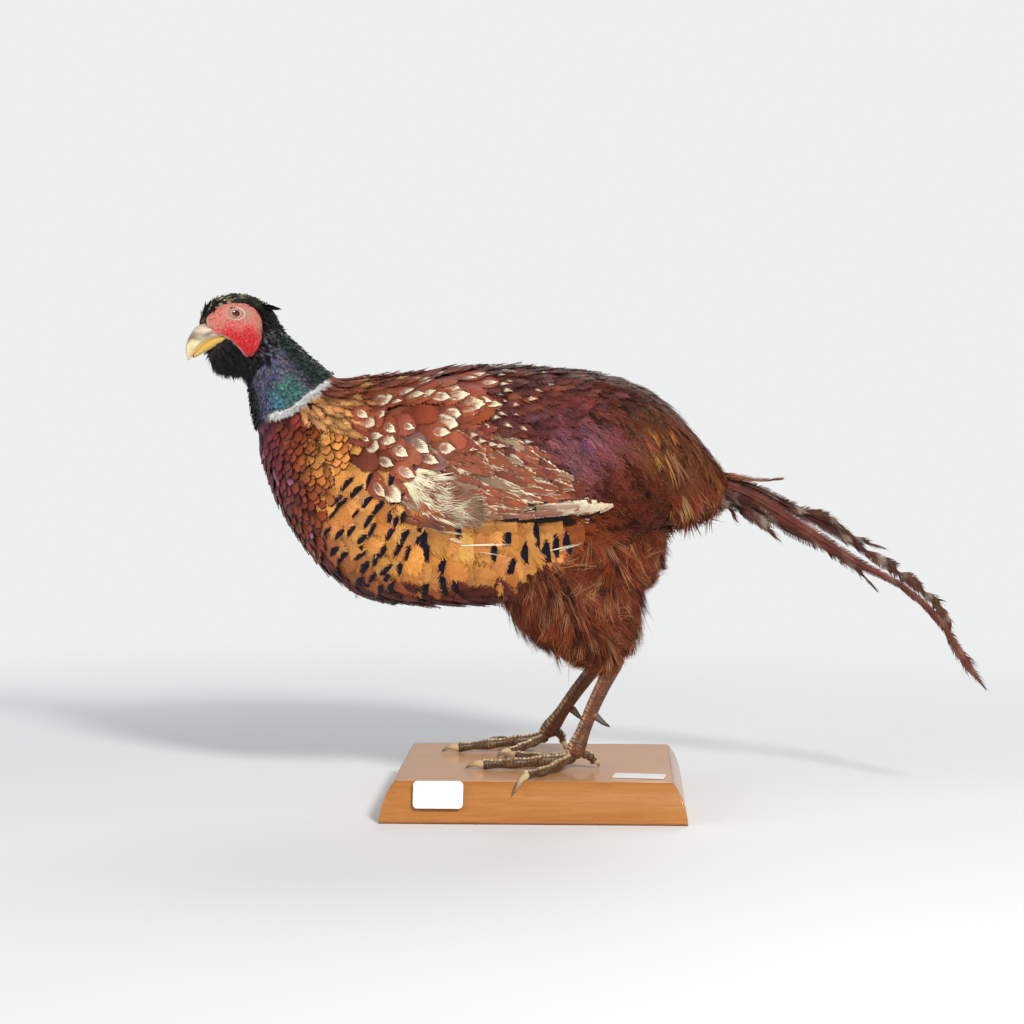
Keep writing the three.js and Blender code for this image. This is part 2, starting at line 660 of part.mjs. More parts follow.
const socket = solid(geometryOf(skull(GAP)).applyMatrix4(head.matrix));
bird.add(
  piece("neck", largest(neckBody.subtract(socket)), "neck"),
  piece("trunk", trunkBody, "trunk"),
  piece("rump", rumpBody, "rump"),
);
for (const side of SIDES) {
  bird.add(...wing(side));
  bird.add(...leg(side));
  bird.add(piece(`thigh_${side.tag}`, largest(thigh(side).subtract(grownBody)), "fluff"));
}
const thighs = thigh(SIDES[0], GAP).add(thigh(SIDES[1], GAP));
const vent = solid(levelLoft(VENT, { steps: 5, segments: 14 })).subtract(grownBody).subtract(thighs);
bird.add(piece("vent", largest(vent), "fluff"));
for (const feather of TAIL) {
  bird.add(piece(`tail_${feather.name}`, largest(solid(blade(feather)).subtract(grownBody)), "tail"));
}

export default model;
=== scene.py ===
"""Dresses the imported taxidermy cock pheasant: one skin under feathers of solid mesh, a bare red face, horn
bill, scaled legs and a varnished plinth. Metres, +Z up; the bird faces -X and its left is its -Y side."""

import math
from collections import namedtuple
from functools import partialmethod

import bpy
import numpy as np
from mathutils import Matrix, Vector
from mathutils.bvhtree import BVHTree
from mathutils.kdtree import KDTree


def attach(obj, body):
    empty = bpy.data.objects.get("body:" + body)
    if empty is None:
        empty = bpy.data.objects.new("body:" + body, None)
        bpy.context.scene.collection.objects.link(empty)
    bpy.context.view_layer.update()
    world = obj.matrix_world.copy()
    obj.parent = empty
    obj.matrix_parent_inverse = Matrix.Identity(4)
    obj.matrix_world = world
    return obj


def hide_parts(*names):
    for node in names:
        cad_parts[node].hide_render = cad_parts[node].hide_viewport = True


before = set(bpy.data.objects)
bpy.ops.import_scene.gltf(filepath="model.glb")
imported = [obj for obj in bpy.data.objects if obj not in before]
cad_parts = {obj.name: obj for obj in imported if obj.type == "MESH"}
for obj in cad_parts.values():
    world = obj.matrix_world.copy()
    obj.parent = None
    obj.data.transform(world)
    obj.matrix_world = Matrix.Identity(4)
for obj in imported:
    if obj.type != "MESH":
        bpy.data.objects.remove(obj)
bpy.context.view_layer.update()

MM = 0.001
SIDES = {"l": -1, "r": 1}
BIRD = np.array([0.0, 8.0, 0.0]) * MM  # the bird's own frame stands here
UP = np.array([0.0, 0.0, 1.0])


# ---------------------------------------------------------------- colours
def linear(hex_colour):
    """A hex sRGB colour as linear red, green and blue."""
    parts = np.array([int(hex_colour[i : i + 2], 16) / 255 for i in (1, 3, 5)])
    return np.where(parts <= 0.04045, parts / 12.92, ((parts + 0.055) / 1.055) ** 2.4)


BLACK = linear("#0d0b0c")
INK = linear("#141220")
NAPE_GREEN = linear("#1d2f28")
NECK_GREY = linear("#635f6e")
NECK_BLUE = linear("#545e9c")
NECK_TEAL = linear("#428e7e")
NECK_FRONT = linear("#10121c")
NECK_SEA = linear("#4796b4")
RING_WHITE = linear("#fbfaf6")
RUST = linear("#8c4434")
COPPER = linear("#96461f")
BREAST_PURPLE = linear("#6d2c3e")
BREAST_SHEEN_PINK = linear("#b8708c")
GOLD = linear("#d58b44")
GOLD_PALE = linear("#e9ab64")
GOLD_SCALE = linear("#e0944c")
MANTLE_GOLD = linear("#e8a866")
MANTLE_RED = linear("#8e4c30")
CHESTNUT = linear("#9a5038")
CREAM = linear("#f3e4c2")
MAROON = linear("#5d2622")
MAUVE = linear("#8a525e")
BACK_RED = linear("#7e3e30")
BACK_DARK = linear("#4c2722")
BACK_VIOLET = linear("#66384a")
GLINT_LILAC = linear("#7468a0")
GLINT_TEAL = linear("#3f8a86")
FLANK_COPPER = linear("#8c4530")
FLANK_RED = linear("#8c3f1e")
RUMP_RED = linear("#72291a")
RUMP_BROWN = linear("#703a22")
RUFOUS = linear("#8f3814")
OLIVE = linear("#7d5636")
BACK_GREEN = linear("#3b3a32")
FLUFF = linear("#84402a")
FLUFF_PALE = linear("#b98258")
FLUFF_DARK = linear("#411d14")
BELLY = linear("#43202a")
WING_BROWN = linear("#8b503a")
WING_GREY = linear("#9a7a62")
WING_STAIN = linear("#a85a30")
TAIL_MAROON = linear("#71342c")
TAIL_DARK = linear("#2c1c17")
TAIL_RUFOUS = linear("#8f4c2c")
TAIL_OLIVE = linear("#6d5531")
TAIL_BEIGE = linear("#98877a")
SPOT_SHEEN_BLUE = linear("#2b2a5e")
SCALE_BROWN = linear("#2a0f0c")
SCAPULAR_SHEEN_GREY = linear("#8a5c58")
SCAPULAR_RED = linear("#8a4124")
BACK_BROWN = linear("#7d4630")
RUMP_OCHRE = linear("#96602f")
RUMP_TAN = linear("#a06840")


def mixed(a, b, share):
    """Colour a going over to b; the share, kept within 0 and 1, may be one number or one for each feather."""
    share = np.clip(np.asarray(share, float), 0, 1)[..., None]
    return a * (1 - share) + b * share


def layered(colour, *layers):
    """A colour under layers of (colour, share), each over the ones before."""
    for over, share in layers:
        colour = mixed(colour, over, share)
    return colour


def smooth(low, high, value):
    """0 below low, 1 above high (or the other way round), and an even ramp between."""
    share = np.clip((np.asarray(value, float) - low) / (high - low), 0, 1)
    return share * share * (3 - 2 * share)


def hill(value, centre, spread):
    return np.exp(-(((np.asarray(value, float) - centre) / spread) ** 2))


def unit(vectors):
    return vectors / np.maximum(np.linalg.norm(vectors, axis=-1, keepdims=True), 1e-12)


# ---------------------------------------------------------------- shared shapes, as in the CAD source
def stations(rows):
    """Back x z, belly x z and half width in mm, then the widest share and the squareness."""
    filled = np.array([(*row, *(0.5, 2.0)[len(row) - 5 :]) for row in rows], float)
    filled[:, :5] *= MM
    return filled


BODY = stations([
    (-184.5, 337.5, -205, 306, 14.5),
    (-177, 330, -205.5, 297, 17.5),
    (-169, 322, -205, 286, 19),
    (-156, 310, -202.5, 268, 22),
    (-142, 299.5, -199, 252, 28, 0.52),
    (-128, 298.5, -193.5, 232, 40, 0.52, 2.1),
    (-110, 299.5, -184, 207, 52, 0.52, 2.15),
    (-88, 302, -164, 175, 61, 0.52, 2.2),
    (-62, 305.5, -128, 142.5, 67, 0.52, 2.25),
    (-32, 307.5, -80, 135.5, 69.5, 0.52, 2.25),
    (2, 306.5, -25, 137, 69, 0.53, 2.25),
    (35, 303, 24, 146, 66, 0.55, 2.2),
    (68, 294, 66, 171, 58, 0.55, 2.1),
    (93, 277.5, 93, 194, 45, 0.53),
    (114, 253.5, 113, 200.5, 30, 0.53),
    (128, 236, 126, 207, 17, 0.52),
    (134, 227, 132, 214, 8),
])
BILL_UPPER = stations([
    (-24, 335, -12.5, 326.5, 13, 0.1),
    (-31, 334.5, -18.5, 325.4, 10.6, 0.14),
    (-36.2, 332, -26, 322.6, 7.4, 0.22),
    (-40.2, 327.5, -31.5, 319.2, 5.5, 0.3),
    (-43.2, 321.5, -36.5, 315, 4.1, 0.35),
    (-44.3, 315.5, -40, 311.8, 2.5, 0.4),
    (-43.2, 310, -42.2, 309.2, 0.7, 0.5),
])
BILL_LOWER = stations([
    (-12.5, 328.5, -9.5, 321.5, 12.6, 0.7),
    (-19.5, 327.5, -16.5, 319.8, 10.2, 0.7),
    (-27, 325, -24, 317.4, 6.8, 0.7),
    (-32.5, 321.5, -30, 314.8, 4.8, 0.65),
    (-37.2, 316.6, -35.4, 312, 3, 0.6),
    (-39.2, 313, -38.2, 310.8, 1.2, 0.6),
])


def station_at(table, place):
    """The stations at places of a table, each number running through it on a smooth curve."""
    place = np.clip(np.asarray(place, float), 0, len(table) - 1 - 1e-9)
    index = place.astype(int)
    share = (place - index)[..., None]
    a, b, c, d = (table[np.clip(index + k, 0, len(table) - 1)] for k in (-1, 0, 1, 2))
    square = 2 * a - 5 * b + 4 * c - d
    cube = 3 * b - a - 3 * c + d
    return 0.5 * (2 * b + (c - a) * share + square * share**2 + cube * share**3)


def section_point(table, place, angle, out=0.0):
    """Points of upright oval sections. Angle 0 is the +Y side, 90 the back, 180 the -Y side, -90 the belly.
    out is how far outside the section they lie."""
    s = station_at(table, place)
    across, height = np.cos(np.radians(angle)), np.sin(np.radians(angle))
    flat = np.zeros(s.shape[:-1])
    rise = np.stack([s[..., 0] - s[..., 2], flat, s[..., 1] - s[..., 3]], -1)
    tall = np.linalg.norm(rise, axis=-1)
    widest, square = s[..., 5], s[..., 6]
    middle = np.stack([s[..., 2], flat, s[..., 3]], -1) + rise * widest[..., None]
    reach = tall * np.where(height > 0, 1 - widest, widest) + out

    def rounded(v):
        return np.sign(v) * np.abs(v) ** (2 / square)

    sideways = np.stack([flat, (s[..., 4] + out) * rounded(across), flat], -1)
    return middle + unit(rise) * (reach * rounded(height))[..., None] + sideways


def curve_points(corners, count, closed=False):
    """Points at even shares of a centripetal Catmull-Rom curve through corners."""
    corners = np.asarray(corners, float)
    if closed:
        padded = np.vstack([corners[-1:], corners, corners[:2]])
    else:
        padded = np.vstack([2 * corners[0] - corners[1], corners, 2 * corners[-1] - corners[-2]])
    spans = len(padded) - 3
    place = np.linspace(0, spans, count, endpoint=not closed)
    index = np.minimum(place.astype(int), spans - 1)
    share = (place - index)[:, None]
    a, b, c, d = (padded[index + k] for k in range(4))

    def knot(p, q):
        return np.maximum(np.linalg.norm(q - p, axis=1, keepdims=True) ** 0.5, 1e-6)

    first, second, third = knot(a, b), knot(b, c), knot(c, d)
    leave = ((b - a) / first - (c - a) / (first + second) + (c - b) / second) * second
    arrive = ((c - b) / second - (d - b) / (second + third) + (d - c) / third) * second
    square = -3 * b + 3 * c - 2 * leave - arrive
    cube = 2 * b - 2 * c + leave + arrive
    return b + leave * share + square * share**2 + cube * share**3


def distances(points):
    """How far along a line of points each one is."""
    return np.concatenate([[0], np.cumsum(np.linalg.norm(np.diff(points, axis=0), axis=1))])


# ---------------------------------------------------------------- materials
class Graph:
    """A material's nodes, made by short calls that give back the socket to use next."""

    def __init__(self, name, roughness=0.6, **constants):
        self.material = bpy.data.materials.new(name)
        self.material.use_nodes = True
        self.tree = self.material.node_tree
        self.shader = self.tree.nodes["Principled BSDF"]
        self.shader.inputs["Roughness"].default_value = roughness
        for socket, value in constants.items():
            self.shader.inputs[socket.replace("_", " ")].default_value = value

    def node(self, kind, *inputs, **settings):
        made = self.tree.nodes.new(kind)
        for key, value in settings.items():
            setattr(made, key, value)
        for socket, value in zip(made.inputs, inputs):
            self.feed(socket, value)
        return made

    def feed(self, socket, value):
        if isinstance(value, bpy.types.NodeSocket):
            self.tree.links.new(value, socket)
        elif value is not None:
            plain = socket.type == "RGBA" and len(value) == 3
            socket.default_value = (*value, 1.0) if plain else value

    def math(self, operation, a, b=None, c=None):
        return self.node("ShaderNodeMath", a, b, c, operation=operation).outputs[0]

    plus = partialmethod(math, "ADD")
    minus = partialmethod(math, "SUBTRACT")
    times = partialmethod(math, "MULTIPLY")
    over = partialmethod(math, "DIVIDE")
    line = partialmethod(math, "MULTIPLY_ADD")

    def square(self, value):
        return self.math("POWER", value, 2.0)

    def ramp(self, value, low, high):
        """An even ramp from 0 at low to 1 at high."""
        made = self.node("ShaderNodeMapRange", value, low, high, interpolation_type="SMOOTHSTEP")
        return made.outputs[0]

    def mix(self, share, a, b, blend_type="MIX"):
        made = self.tree.nodes.new("ShaderNodeMix")
        made.data_type = "RGBA"
        made.blend_type = blend_type
        for name, value in (("Factor_Float", share), ("A_Color", a), ("B_Color", b)):
            self.feed(next(s for s in made.inputs if s.identifier == name), value)
        return next(s for s in made.outputs if s.identifier == "Result_Color")

    def attribute(self, name, output="Color"):
        return self.node("ShaderNodeAttribute", attribute_name=name).outputs[output]

    def place(self):
        return self.node("ShaderNodeTexCoord").outputs["Object"]

    def noise(self, scale, detail=3.0, vector=None, roughness=0.5):
        made = self.node("ShaderNodeTexNoise")
        self.feed(made.inputs["Vector"], vector if vector is not None else self.place())
        made.inputs["Scale"].default_value = scale
        made.inputs["Detail"].default_value = detail
        made.inputs["Roughness"].default_value = roughness
        return made.outputs[0]

    def lie(self):
        """How far across its vane a point is, from the shaft to the rim, and how far along to the tip."""
        uv = self.node("ShaderNodeUVMap", uv_map="lie").outputs[0]
        parts = self.node("ShaderNodeSeparateXYZ", uv).outputs
        centred = self.line(parts[0], 2.0, -1.0)
        return self.math("ABSOLUTE", centred), parts[1]

    def bump(self, height, distance, strength=1.0):
        made = self.node("ShaderNodeBump")
        made.inputs["Strength"].default_value = strength
        made.inputs["Distance"].default_value = distance
        self.feed(made.inputs["Height"], height)
        self.feed(self.shader.inputs["Normal"], made.outputs[0])

    def finish(self, colour, roughness=None):
        self.feed(self.shader.inputs["Base Color"], colour)
        if roughness is not None:
            self.feed(self.shader.inputs["Roughness"], roughness)
        return self.material


# How each pattern paints a vane. v holds: across (0 at the shaft, 1 at the rim), along (0 at the root, 1 at
# the tip), streak and fray (0 to 1 noises drawn out along the barbs, fine and coarse), tint, mark and chance
# (each feather's own).
def plain_vane(g, v):
    """A vane of one colour whose rim goes over to the mark."""
    rim = g.math("MAXIMUM", v["across"], g.ramp(v["along"], 0.6, 1.0))
    rim = g.line(v["streak"], 0.5, g.plus(rim, -0.25))
    return g.mix(g.times(g.ramp(rim, 0.55, 1.0), 0.6), v["tint"], v["mark"])


def glinting(g, v, colour):
    """A colour with small lilac and teal glints, by the chance."""
    lilac = g.times(g.ramp(g.noise(430.0, 1.0), 0.66, 0.72), v["chance"])
    teal = g.times(g.ramp(g.noise(570.0, 1.0), 0.69, 0.74), v["chance"])
    colour = g.mix(g.times(lilac, 0.6), colour, tuple(GLINT_LILAC))
    return g.mix(g.times(teal, 0.6), colour, tuple(GLINT_TEAL))


def glinting_vane(g, v):
    """A plain vane with glints."""
    return glinting(g, v, plain_vane(g, v))


def scaled_vane(g, v):
    """A vane with a thin dark line round its tip."""
    tip = g.line(v["along"], 3.4, -2.4)
    side = g.times(v["across"], g.ramp(v["along"], 0.45, 0.75))
    reach = g.math("SMOOTH_MAX", tip, side, 0.25)
    reach = g.line(v["streak"], 0.16, reach)
    line = g.times(g.ramp(reach, 0.8, 0.9), v["chance"])
    glow = g.times(g.ramp(v["along"], 0.5, 0.85), 0.35)
    lit = g.mix(glow, v["tint"], (1.0, 0.72, 0.42), "SOFT_LIGHT")
    return g.mix(line, lit, v["mark"])


def spotted_vane(g, v):
    """A vane whose tip has a bold bar, bulging towards the root and jagged along the barbs."""
    start = g.line(g.square(v["across"]), 0.12, 0.8)
    start = g.line(v["streak"], 0.1, start)
    start = g.line(g.noise(110.0, 1.0), 0.16, g.plus(start, -0.125))
    bar = g.ramp(g.minus(v["along"], start), 0.0, 0.02)
    # Painted sheen: patches of violet blue over the bar's dark ink.
    blue_sheen = g.times(g.ramp(g.noise(170.0, 1.0), 0.5, 0.7), 0.22)
    ink = g.mix(blue_sheen, v["mark"], tuple(SPOT_SHEEN_BLUE))
    glow = g.times(g.ramp(v["across"], 0.2, 0.9), 0.25)
    lit = g.mix(glow, v["tint"], (1.0, 0.85, 0.6), "SOFT_LIGHT")
    return g.mix(g.times(bar, v["chance"]), lit, ink)


def drop_vane(g, v):
    """A vane with a pale drop at its tip: hollow and pencilled towards the root, pointed and dark-rimmed
    behind, the dark rim partly the feather's black edge and partly painted shadow. The chance is the drop's
    size."""
    size = g.math("MAXIMUM", v["chance"], 0.05)
    forward = g.over(g.times(g.minus(v["along"], 0.85), 5.2), size)
    behind = g.math("MAXIMUM", forward, 0.0)
    front = g.math("MINIMUM", forward, 0.0)
    sideways = g.over(g.times(v["across"], 2.2), size)
    lengthwise = g.square(g.times(front, 0.7))
    rounded = g.math("SQRT", g.plus(lengthwise, g.square(sideways)))
    reach = g.plus(rounded, g.times(behind, 1.15))
    reach = g.line(g.minus(v["streak"], 0.5), 0.3, reach)
    pencil = g.plus(v["streak"], g.times(v["fray"], 0.6))
    pencil = g.times(g.ramp(pencil, 1.0, 0.55), g.ramp(forward, 0.25, -0.5))
    pale = g.mix(g.times(pencil, 0.8), v["mark"], tuple(MAROON))
    hollow = g.times(g.ramp(forward, 0.05, -0.7), g.ramp(g.square(sideways), 0.4, 0.08))
    pale = g.mix(g.times(hollow, 0.75), pale, v["tint"])
    present = g.ramp(v["chance"], 0.1, 0.25)
    # Painted shadow: the dark rim round the drop's tip end, partly also the feather's black edge.
    rim = g.times(g.ramp(reach, 1.5, 1.15), g.ramp(forward, -0.5, 0.2))
    rim_and_shadow = g.mix(g.times(rim, present), v["tint"], tuple(BLACK))
    return g.mix(g.times(g.ramp(reach, 1.0, 0.9), present), rim_and_shadow, pale)


def fleck_vane(g, v):
    """A vane with glints, and a small pale flame near its tip where the chance is above a half."""
    narrow = g.over(v["across"], g.math("MAXIMUM", g.ramp(v["along"], 1.0, 0.7), 0.02))
    flame = g.times(g.ramp(narrow, 0.5, 0.25), g.ramp(v["along"], 0.62, 0.74))
    flame = g.times(flame, g.ramp(v["streak"], 0.2, 0.5))
    return g.mix(g.times(flame, g.ramp(v["chance"], 0.5, 0.9)), glinting(g, v, v["tint"]), v["mark"])


def streaked_vane(g, v):
    """A vane with a ragged pale margin, narrow or broad by its chance."""
    start = g.line(v["chance"], -0.9, 1.1)
    start = g.line(v["fray"], 0.9, g.plus(start, -0.45))
    margin = g.ramp(g.minus(v["across"], start), 0.0, 0.22)
    speckled = g.times(g.ramp(v["streak"], 0.6, 0.2), 0.3)
    return g.mix(margin, v["tint"], g.mix(speckled, v["mark"], tuple(WING_BROWN)))


def barred_vane(g, v):
    """Faint dark bars across a long vane."""
    bars = g.math("SINE", g.line(v["along"], 95.0, g.times(v["across"], 3.0)))
    share = g.times(g.ramp(bars, 0.55, 0.95), g.ramp(g.noise(160.0, 2.0), 0.4, 0.6))
    return g.mix(g.times(share, 0.55), v["tint"], v["mark"])


BARB_SLANT = 0.24  # how far the barbs sweep towards the tip, as a share of the vane's length
BARB_STREAKS = (46.0, 1.4)  # how fine the streaks are along the shaft and along a barb
FRAY_STREAKS = (2.6, 3.2)  # the same for the long streaks that follow the shaft
OWN_STREAKS = 55.0  # how quickly the streaks change from feather to feather, per metre
ROOT_SHADE = 0.5  # how dark a feather is where the ones before it cover it


def feather_material(name, pattern, roughness, barbs, patchy, specular, shade=ROOT_SHADE):
    """A vane painted by its pattern. barbs is how strongly they show, patchy how uneven the feather is."""
    g = Graph(name, Specular_IOR_Level=specular)
    across, along = g.lie()
    slanted = g.line(across, -BARB_SLANT, along)
    where = g.node("ShaderNodeSeparateXYZ", g.place()).outputs
    own = g.times(g.plus(where[0], where[2]), OWN_STREAKS)

    def streaks(fineness, roughness, low, high):
        ways = (g.times(part, fine) for part, fine in zip((slanted, across), fineness))
        at = g.node("ShaderNodeCombineXYZ", *ways, own).outputs[0]
        return g.ramp(g.noise(1.0, 3.0, at, roughness), low, high)

    streak = streaks(BARB_STREAKS, 0.65, 0.28, 0.72)
    parts = {"across": across, "along": along, "streak": streak, "fray": streaks(FRAY_STREAKS, 0.6, 0.3, 0.7),
             "tint": g.attribute("tint"), "mark": g.attribute("mark"), "chance": g.attribute("chance", "Fac")}
    colour = pattern(g, parts)
    for share, strength, over, blend_type in (
        (g.ramp(streak, 0.5, 0.0), barbs, (0.12, 0.08, 0.08), "MULTIPLY"),
        (g.ramp(streak, 0.7, 1.0), barbs * 0.5, (1.0, 0.9, 0.8), "SOFT_LIGHT"),
        (g.ramp(g.noise(230.0, 3.0), 0.5, 0.8), patchy, (0.3, 0.2, 0.2), "MULTIPLY"),
        (g.ramp(along, 0.75, 0.25), shade, (0.15, 0.1, 0.1), "MULTIPLY"),
    ):
        colour = g.mix(g.times(share, strength), colour, over, blend_type)
    g.bump(streak, 0.0003, 0.6)
    return g.finish(colour, g.line(streak, -0.16, roughness + 0.08))


# ---------------------------------------------------------------- meshes
def grid_faces(rows, columns, wrap=False):
    """Quads of a grid of rows by columns, the columns closing on themselves where wrap is set."""
    r, c = np.meshgrid(np.arange(rows - 1), np.arange(columns if wrap else columns - 1), indexing="ij")
    following = (c + 1) % columns
    corners = [r * columns + c, r * columns + following, (r + 1) * columns + following, (r + 1) * columns + c]
    return np.stack(corners, -1).reshape(-1, 4)


def build(name, vertices, faces, material, uvs=None, colours=None, values=None, replaces=()):
    """One smooth-shaded piece of the bird or its plinth, riding on the root."""
    mesh = bpy.data.meshes.new(name)
    vertices = np.ascontiguousarray(vertices, np.float32).reshape(-1, 3)
    faces = np.ascontiguousarray(faces, np.int32)
    count = len(faces)
    mesh.vertices.add(len(vertices))
    mesh.vertices.foreach_set("co", vertices.ravel())
    mesh.loops.add(faces.size)
    mesh.loops.foreach_set("vertex_index", faces.ravel())
    mesh.polygons.add(count)
    mesh.polygons.foreach_set("loop_start", np.arange(0, faces.size, faces.shape[1], dtype=np.int32))
    mesh.update(calc_edges=True)
    mesh.polygons.foreach_set("use_smooth", np.ones(count, bool))
    for key, uv in (uvs or {}).items():
        layer = mesh.uv_layers.new(name=key)
        layer.data.foreach_set("uv", uv.reshape(-1, 2)[faces.ravel()].astype(np.float32).ravel())
    for key, colour in (colours or {}).items():
        layer = mesh.attributes.new(key, "FLOAT_COLOR", "POINT")
        opaque = np.concatenate([colour.reshape(-1, 3), np.ones((len(vertices), 1))], 1)
        layer.data.foreach_set("color", opaque.astype(np.float32).ravel())
    for key, value in (values or {}).items():
        mesh.attributes.new(key, "FLOAT", "POINT").data.foreach_set("value", value.astype(np.float32))
    mesh.validate()
    mesh.materials.append(material)
    piece = bpy.data.objects.new(name, mesh)
    bpy.context.scene.collection.objects.link(piece)
    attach(piece, "root")
    if replaces:
        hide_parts(*replaces)
    return piece


def read(items, key, width, kind=np.int32):
    """One property of all of a mesh's vertices, edges, loops or triangles, so many numbers a row."""
    values = np.zeros(len(items) * len(np.ravel(getattr(items[0], key))), kind)
    items.foreach_get(key, values)
    return values.reshape(-1, width)


def node_mesh(names):
    """Vertices and triangles of several CAD nodes together."""
    vertices, triangles = [], []
    start = 0
    for name in names:
        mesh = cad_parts[name].data
        mesh.calc_loop_triangles()
        vertices.append(read(mesh.vertices, "co", 3, np.float32).astype(float))
        triangles.append(read(mesh.loop_triangles, "vertices", 3) + start)
        start += len(mesh.vertices)
    return np.vstack(vertices), np.vstack(triangles)


def tree_of(names):
    vertices, triangles = node_mesh(names)
    return BVHTree.FromPolygons(vertices.tolist(), triangles.tolist())


# ---------------------------------------------------------------- the skin
VOXEL = 3.0 * MM
COAT_DEPTH = {  # mm from the feather tips down to the skin
    "head": 1.2, "neck": 2.0, "trunk": 3.0, "rump": 3.0, "vent": 4.5,
    "wing_coverts": 2.2, "wing_flight": 2.2, "thigh": 5.0,
}
FLESH = [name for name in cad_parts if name.removesuffix("_l").removesuffix("_r") in COAT_DEPTH]


def biggest_island(count, edges):
    """Which vertices belong to the largest connected part of a mesh."""
    label = np.arange(count)
    while True:
        low = np.minimum(label[edges[:, 0]], label[edges[:, 1]])
        following = label.copy()
        np.minimum.at(following, edges[:, 0], low)
        np.minimum.at(following, edges[:, 1], low)
        following = following[following]
        if (following == label).all():
            break
        label = following
    names, sizes = np.unique(label, return_counts=True)
    return label == names[sizes.argmax()]


def evened(values, edges, rounds):
    """Values at the vertices, drawn halfway to the mean of their neighbours in each round."""
    shape = (-1,) + (1,) * (values.ndim - 1)
    degree = np.bincount(edges.ravel(), minlength=len(values)).reshape(shape)
    for _ in range(rounds):
        total = np.zeros_like(values)
        np.add.at(total, edges[:, 0], values[edges[:, 1]])
        np.add.at(total, edges[:, 1], values[edges[:, 0]])
        values = (values + total / np.maximum(degree, 1)) / 2
    return values


def corner_normals(vertices, faces):
    """Unit normals at the vertices of a mesh of quads."""
    across = vertices[faces[:, 2]] - vertices[faces[:, 0]]
    along = vertices[faces[:, 3]] - vertices[faces[:, 1]]
    normal = np.cross(across, along)
    total = np.zeros_like(vertices)
    for k in range(4):
        np.add.at(total, faces[:, k], normal)
    return unit(total)


def remeshed(names):
    """The flesh nodes as one closed mesh of even quads, with its edges."""
    vertices, triangles = node_mesh(names)
    rough = bpy.data.meshes.new("flesh")
    rough.from_pydata(vertices.tolist(), [], triangles.tolist())
    holder = bpy.data.objects.new("flesh", rough)
    bpy.context.scene.collection.objects.link(holder)
    voxels = holder.modifiers.new("voxels", "REMESH")
    voxels.mode = "VOXEL"
    voxels.voxel_size = VOXEL
    even = holder.evaluated_get(bpy.context.evaluated_depsgraph_get()).to_mesh()
    co = read(even.vertices, "co", 3, np.float32).astype(float)
    faces, edges = read(even.loops, "vertex_index", 4), read(even.edges, "vertices", 2)
    bpy.data.objects.remove(holder)
    kept = biggest_island(len(co), edges)
    renumber = np.cumsum(kept) - 1
    return co[kept], renumber[faces[kept[faces[:, 0]]]], renumber[edges[kept[edges[:, 0]]]]


def skin_surface():
    """The body's surface, drawn in under the feathers by the coat's depth."""
    vertices, faces, edges = remeshed(FLESH)
    trees = [tree_of([name]) for name in FLESH]
    away = np.array([[tree.find_nearest(p)[3] for p in vertices.tolist()] for tree in trees])
    owner = away.argmin(0)
    depth = np.array([COAT_DEPTH[name.removesuffix("_l").removesuffix("_r")] for name in FLESH])[owner] * MM
    depth = evened(depth, edges, 12)
    vertices = evened(vertices, edges, 2)
    normals = evened(corner_normals(vertices, faces), edges, 3)
    vertices = evened(vertices - unit(normals) * depth[:, None], edges, 2)
    return vertices, faces, edges, owner


SKIN_POINTS, SKIN_FACES, SKIN_EDGES, SKIN_OWNER = skin_surface()
SKIN_NORMALS = unit(evened(corner_normals(SKIN_POINTS, SKIN_FACES), SKIN_EDGES, 2))
SKIN_FACE_NORMALS = unit(SKIN_NORMALS[SKIN_FACES].sum(1))
SKIN_TREE = BVHTree.FromPolygons(SKIN_POINTS.tolist(), SKIN_FACES.tolist())
COAT_SAMPLES = []  # (roots, colours) of every coat piece, from which the skin takes its markings


def drape(points):
    """Nearest points on the skin and its smooth normals there."""
    found = [SKIN_TREE.find_nearest(p) for p in points.reshape(-1, 3).tolist()]
    on = np.array([f[0] for f in found])
    normal = SKIN_FACE_NORMALS[[f[2] for f in found]]
    return on.reshape(points.shape), normal.reshape(points.shape)


def cast(origins, targets):
    """Where lines from outside first meet the skin. Misses are left where the targets are."""
    on = targets.copy()
    for i, (origin, way) in enumerate(zip(origins.tolist(), unit(targets - origins).tolist())):
        hit = SKIN_TREE.ray_cast(origin, way)[0]
        if hit is not None:
            on[i] = hit
    return on


# ---------------------------------------------------------------- one feather or tuft, in shares of its size
# Vertices u across (-1 to 1 of the half width), v along (0 to 1) and h off the vane, with their quads. across
# is where the pattern is read. Vertices of one strand waver together, each as far as it is free.
Template = namedtuple("Template", "u v faces h across strand free")


def outline(v, belly=0.58, root=0.3, tip=0.1, point=2.0):
    """Half width along a feather: a narrow root, widest at the belly, and a rounded tip."""
    rise = root + (1 - root) * smooth(0, belly * 0.8, v)
    fall = np.clip((v - belly) / (1 - belly), 0, 1)
    return rise * np.maximum((1 - fall**point) ** (1 / point), tip)


class Strands:
    """Gathers the strips of a template."""

    def __init__(self):
        self.parts, self.faces, self.count = [], [], 0

    def strip(self, v, u=0.0, h=0.0, wide=0.0, long=0.0, across=0.0, fan=0.0, free=0.0):
        """A strip along stations; its two edges lie off them by wide across, long along and fan in across."""
        edge = np.tile([-1.0, 1.0], len(v))
        u, v, h, wide, long, across, fan, free = (
            np.repeat(np.broadcast_to(np.asarray(part, float), len(v)), 2)
            for part in (u, v, h, wide, long, across, fan, free))
        strand = np.full(len(edge), len(self.parts))
        self.parts.append(np.stack([u + edge * wide, v + edge * long, h, across + edge * fan, strand, free]))
        self.faces.append(grid_faces(len(edge) // 2, 2) + self.count)
        self.count += len(edge)

    def template(self):
        u, v, h, across, strand, free = np.hstack(self.parts)
        return Template(u, np.clip(v, 0, 1), np.vstack(self.faces), h, across, strand.astype(int), free)


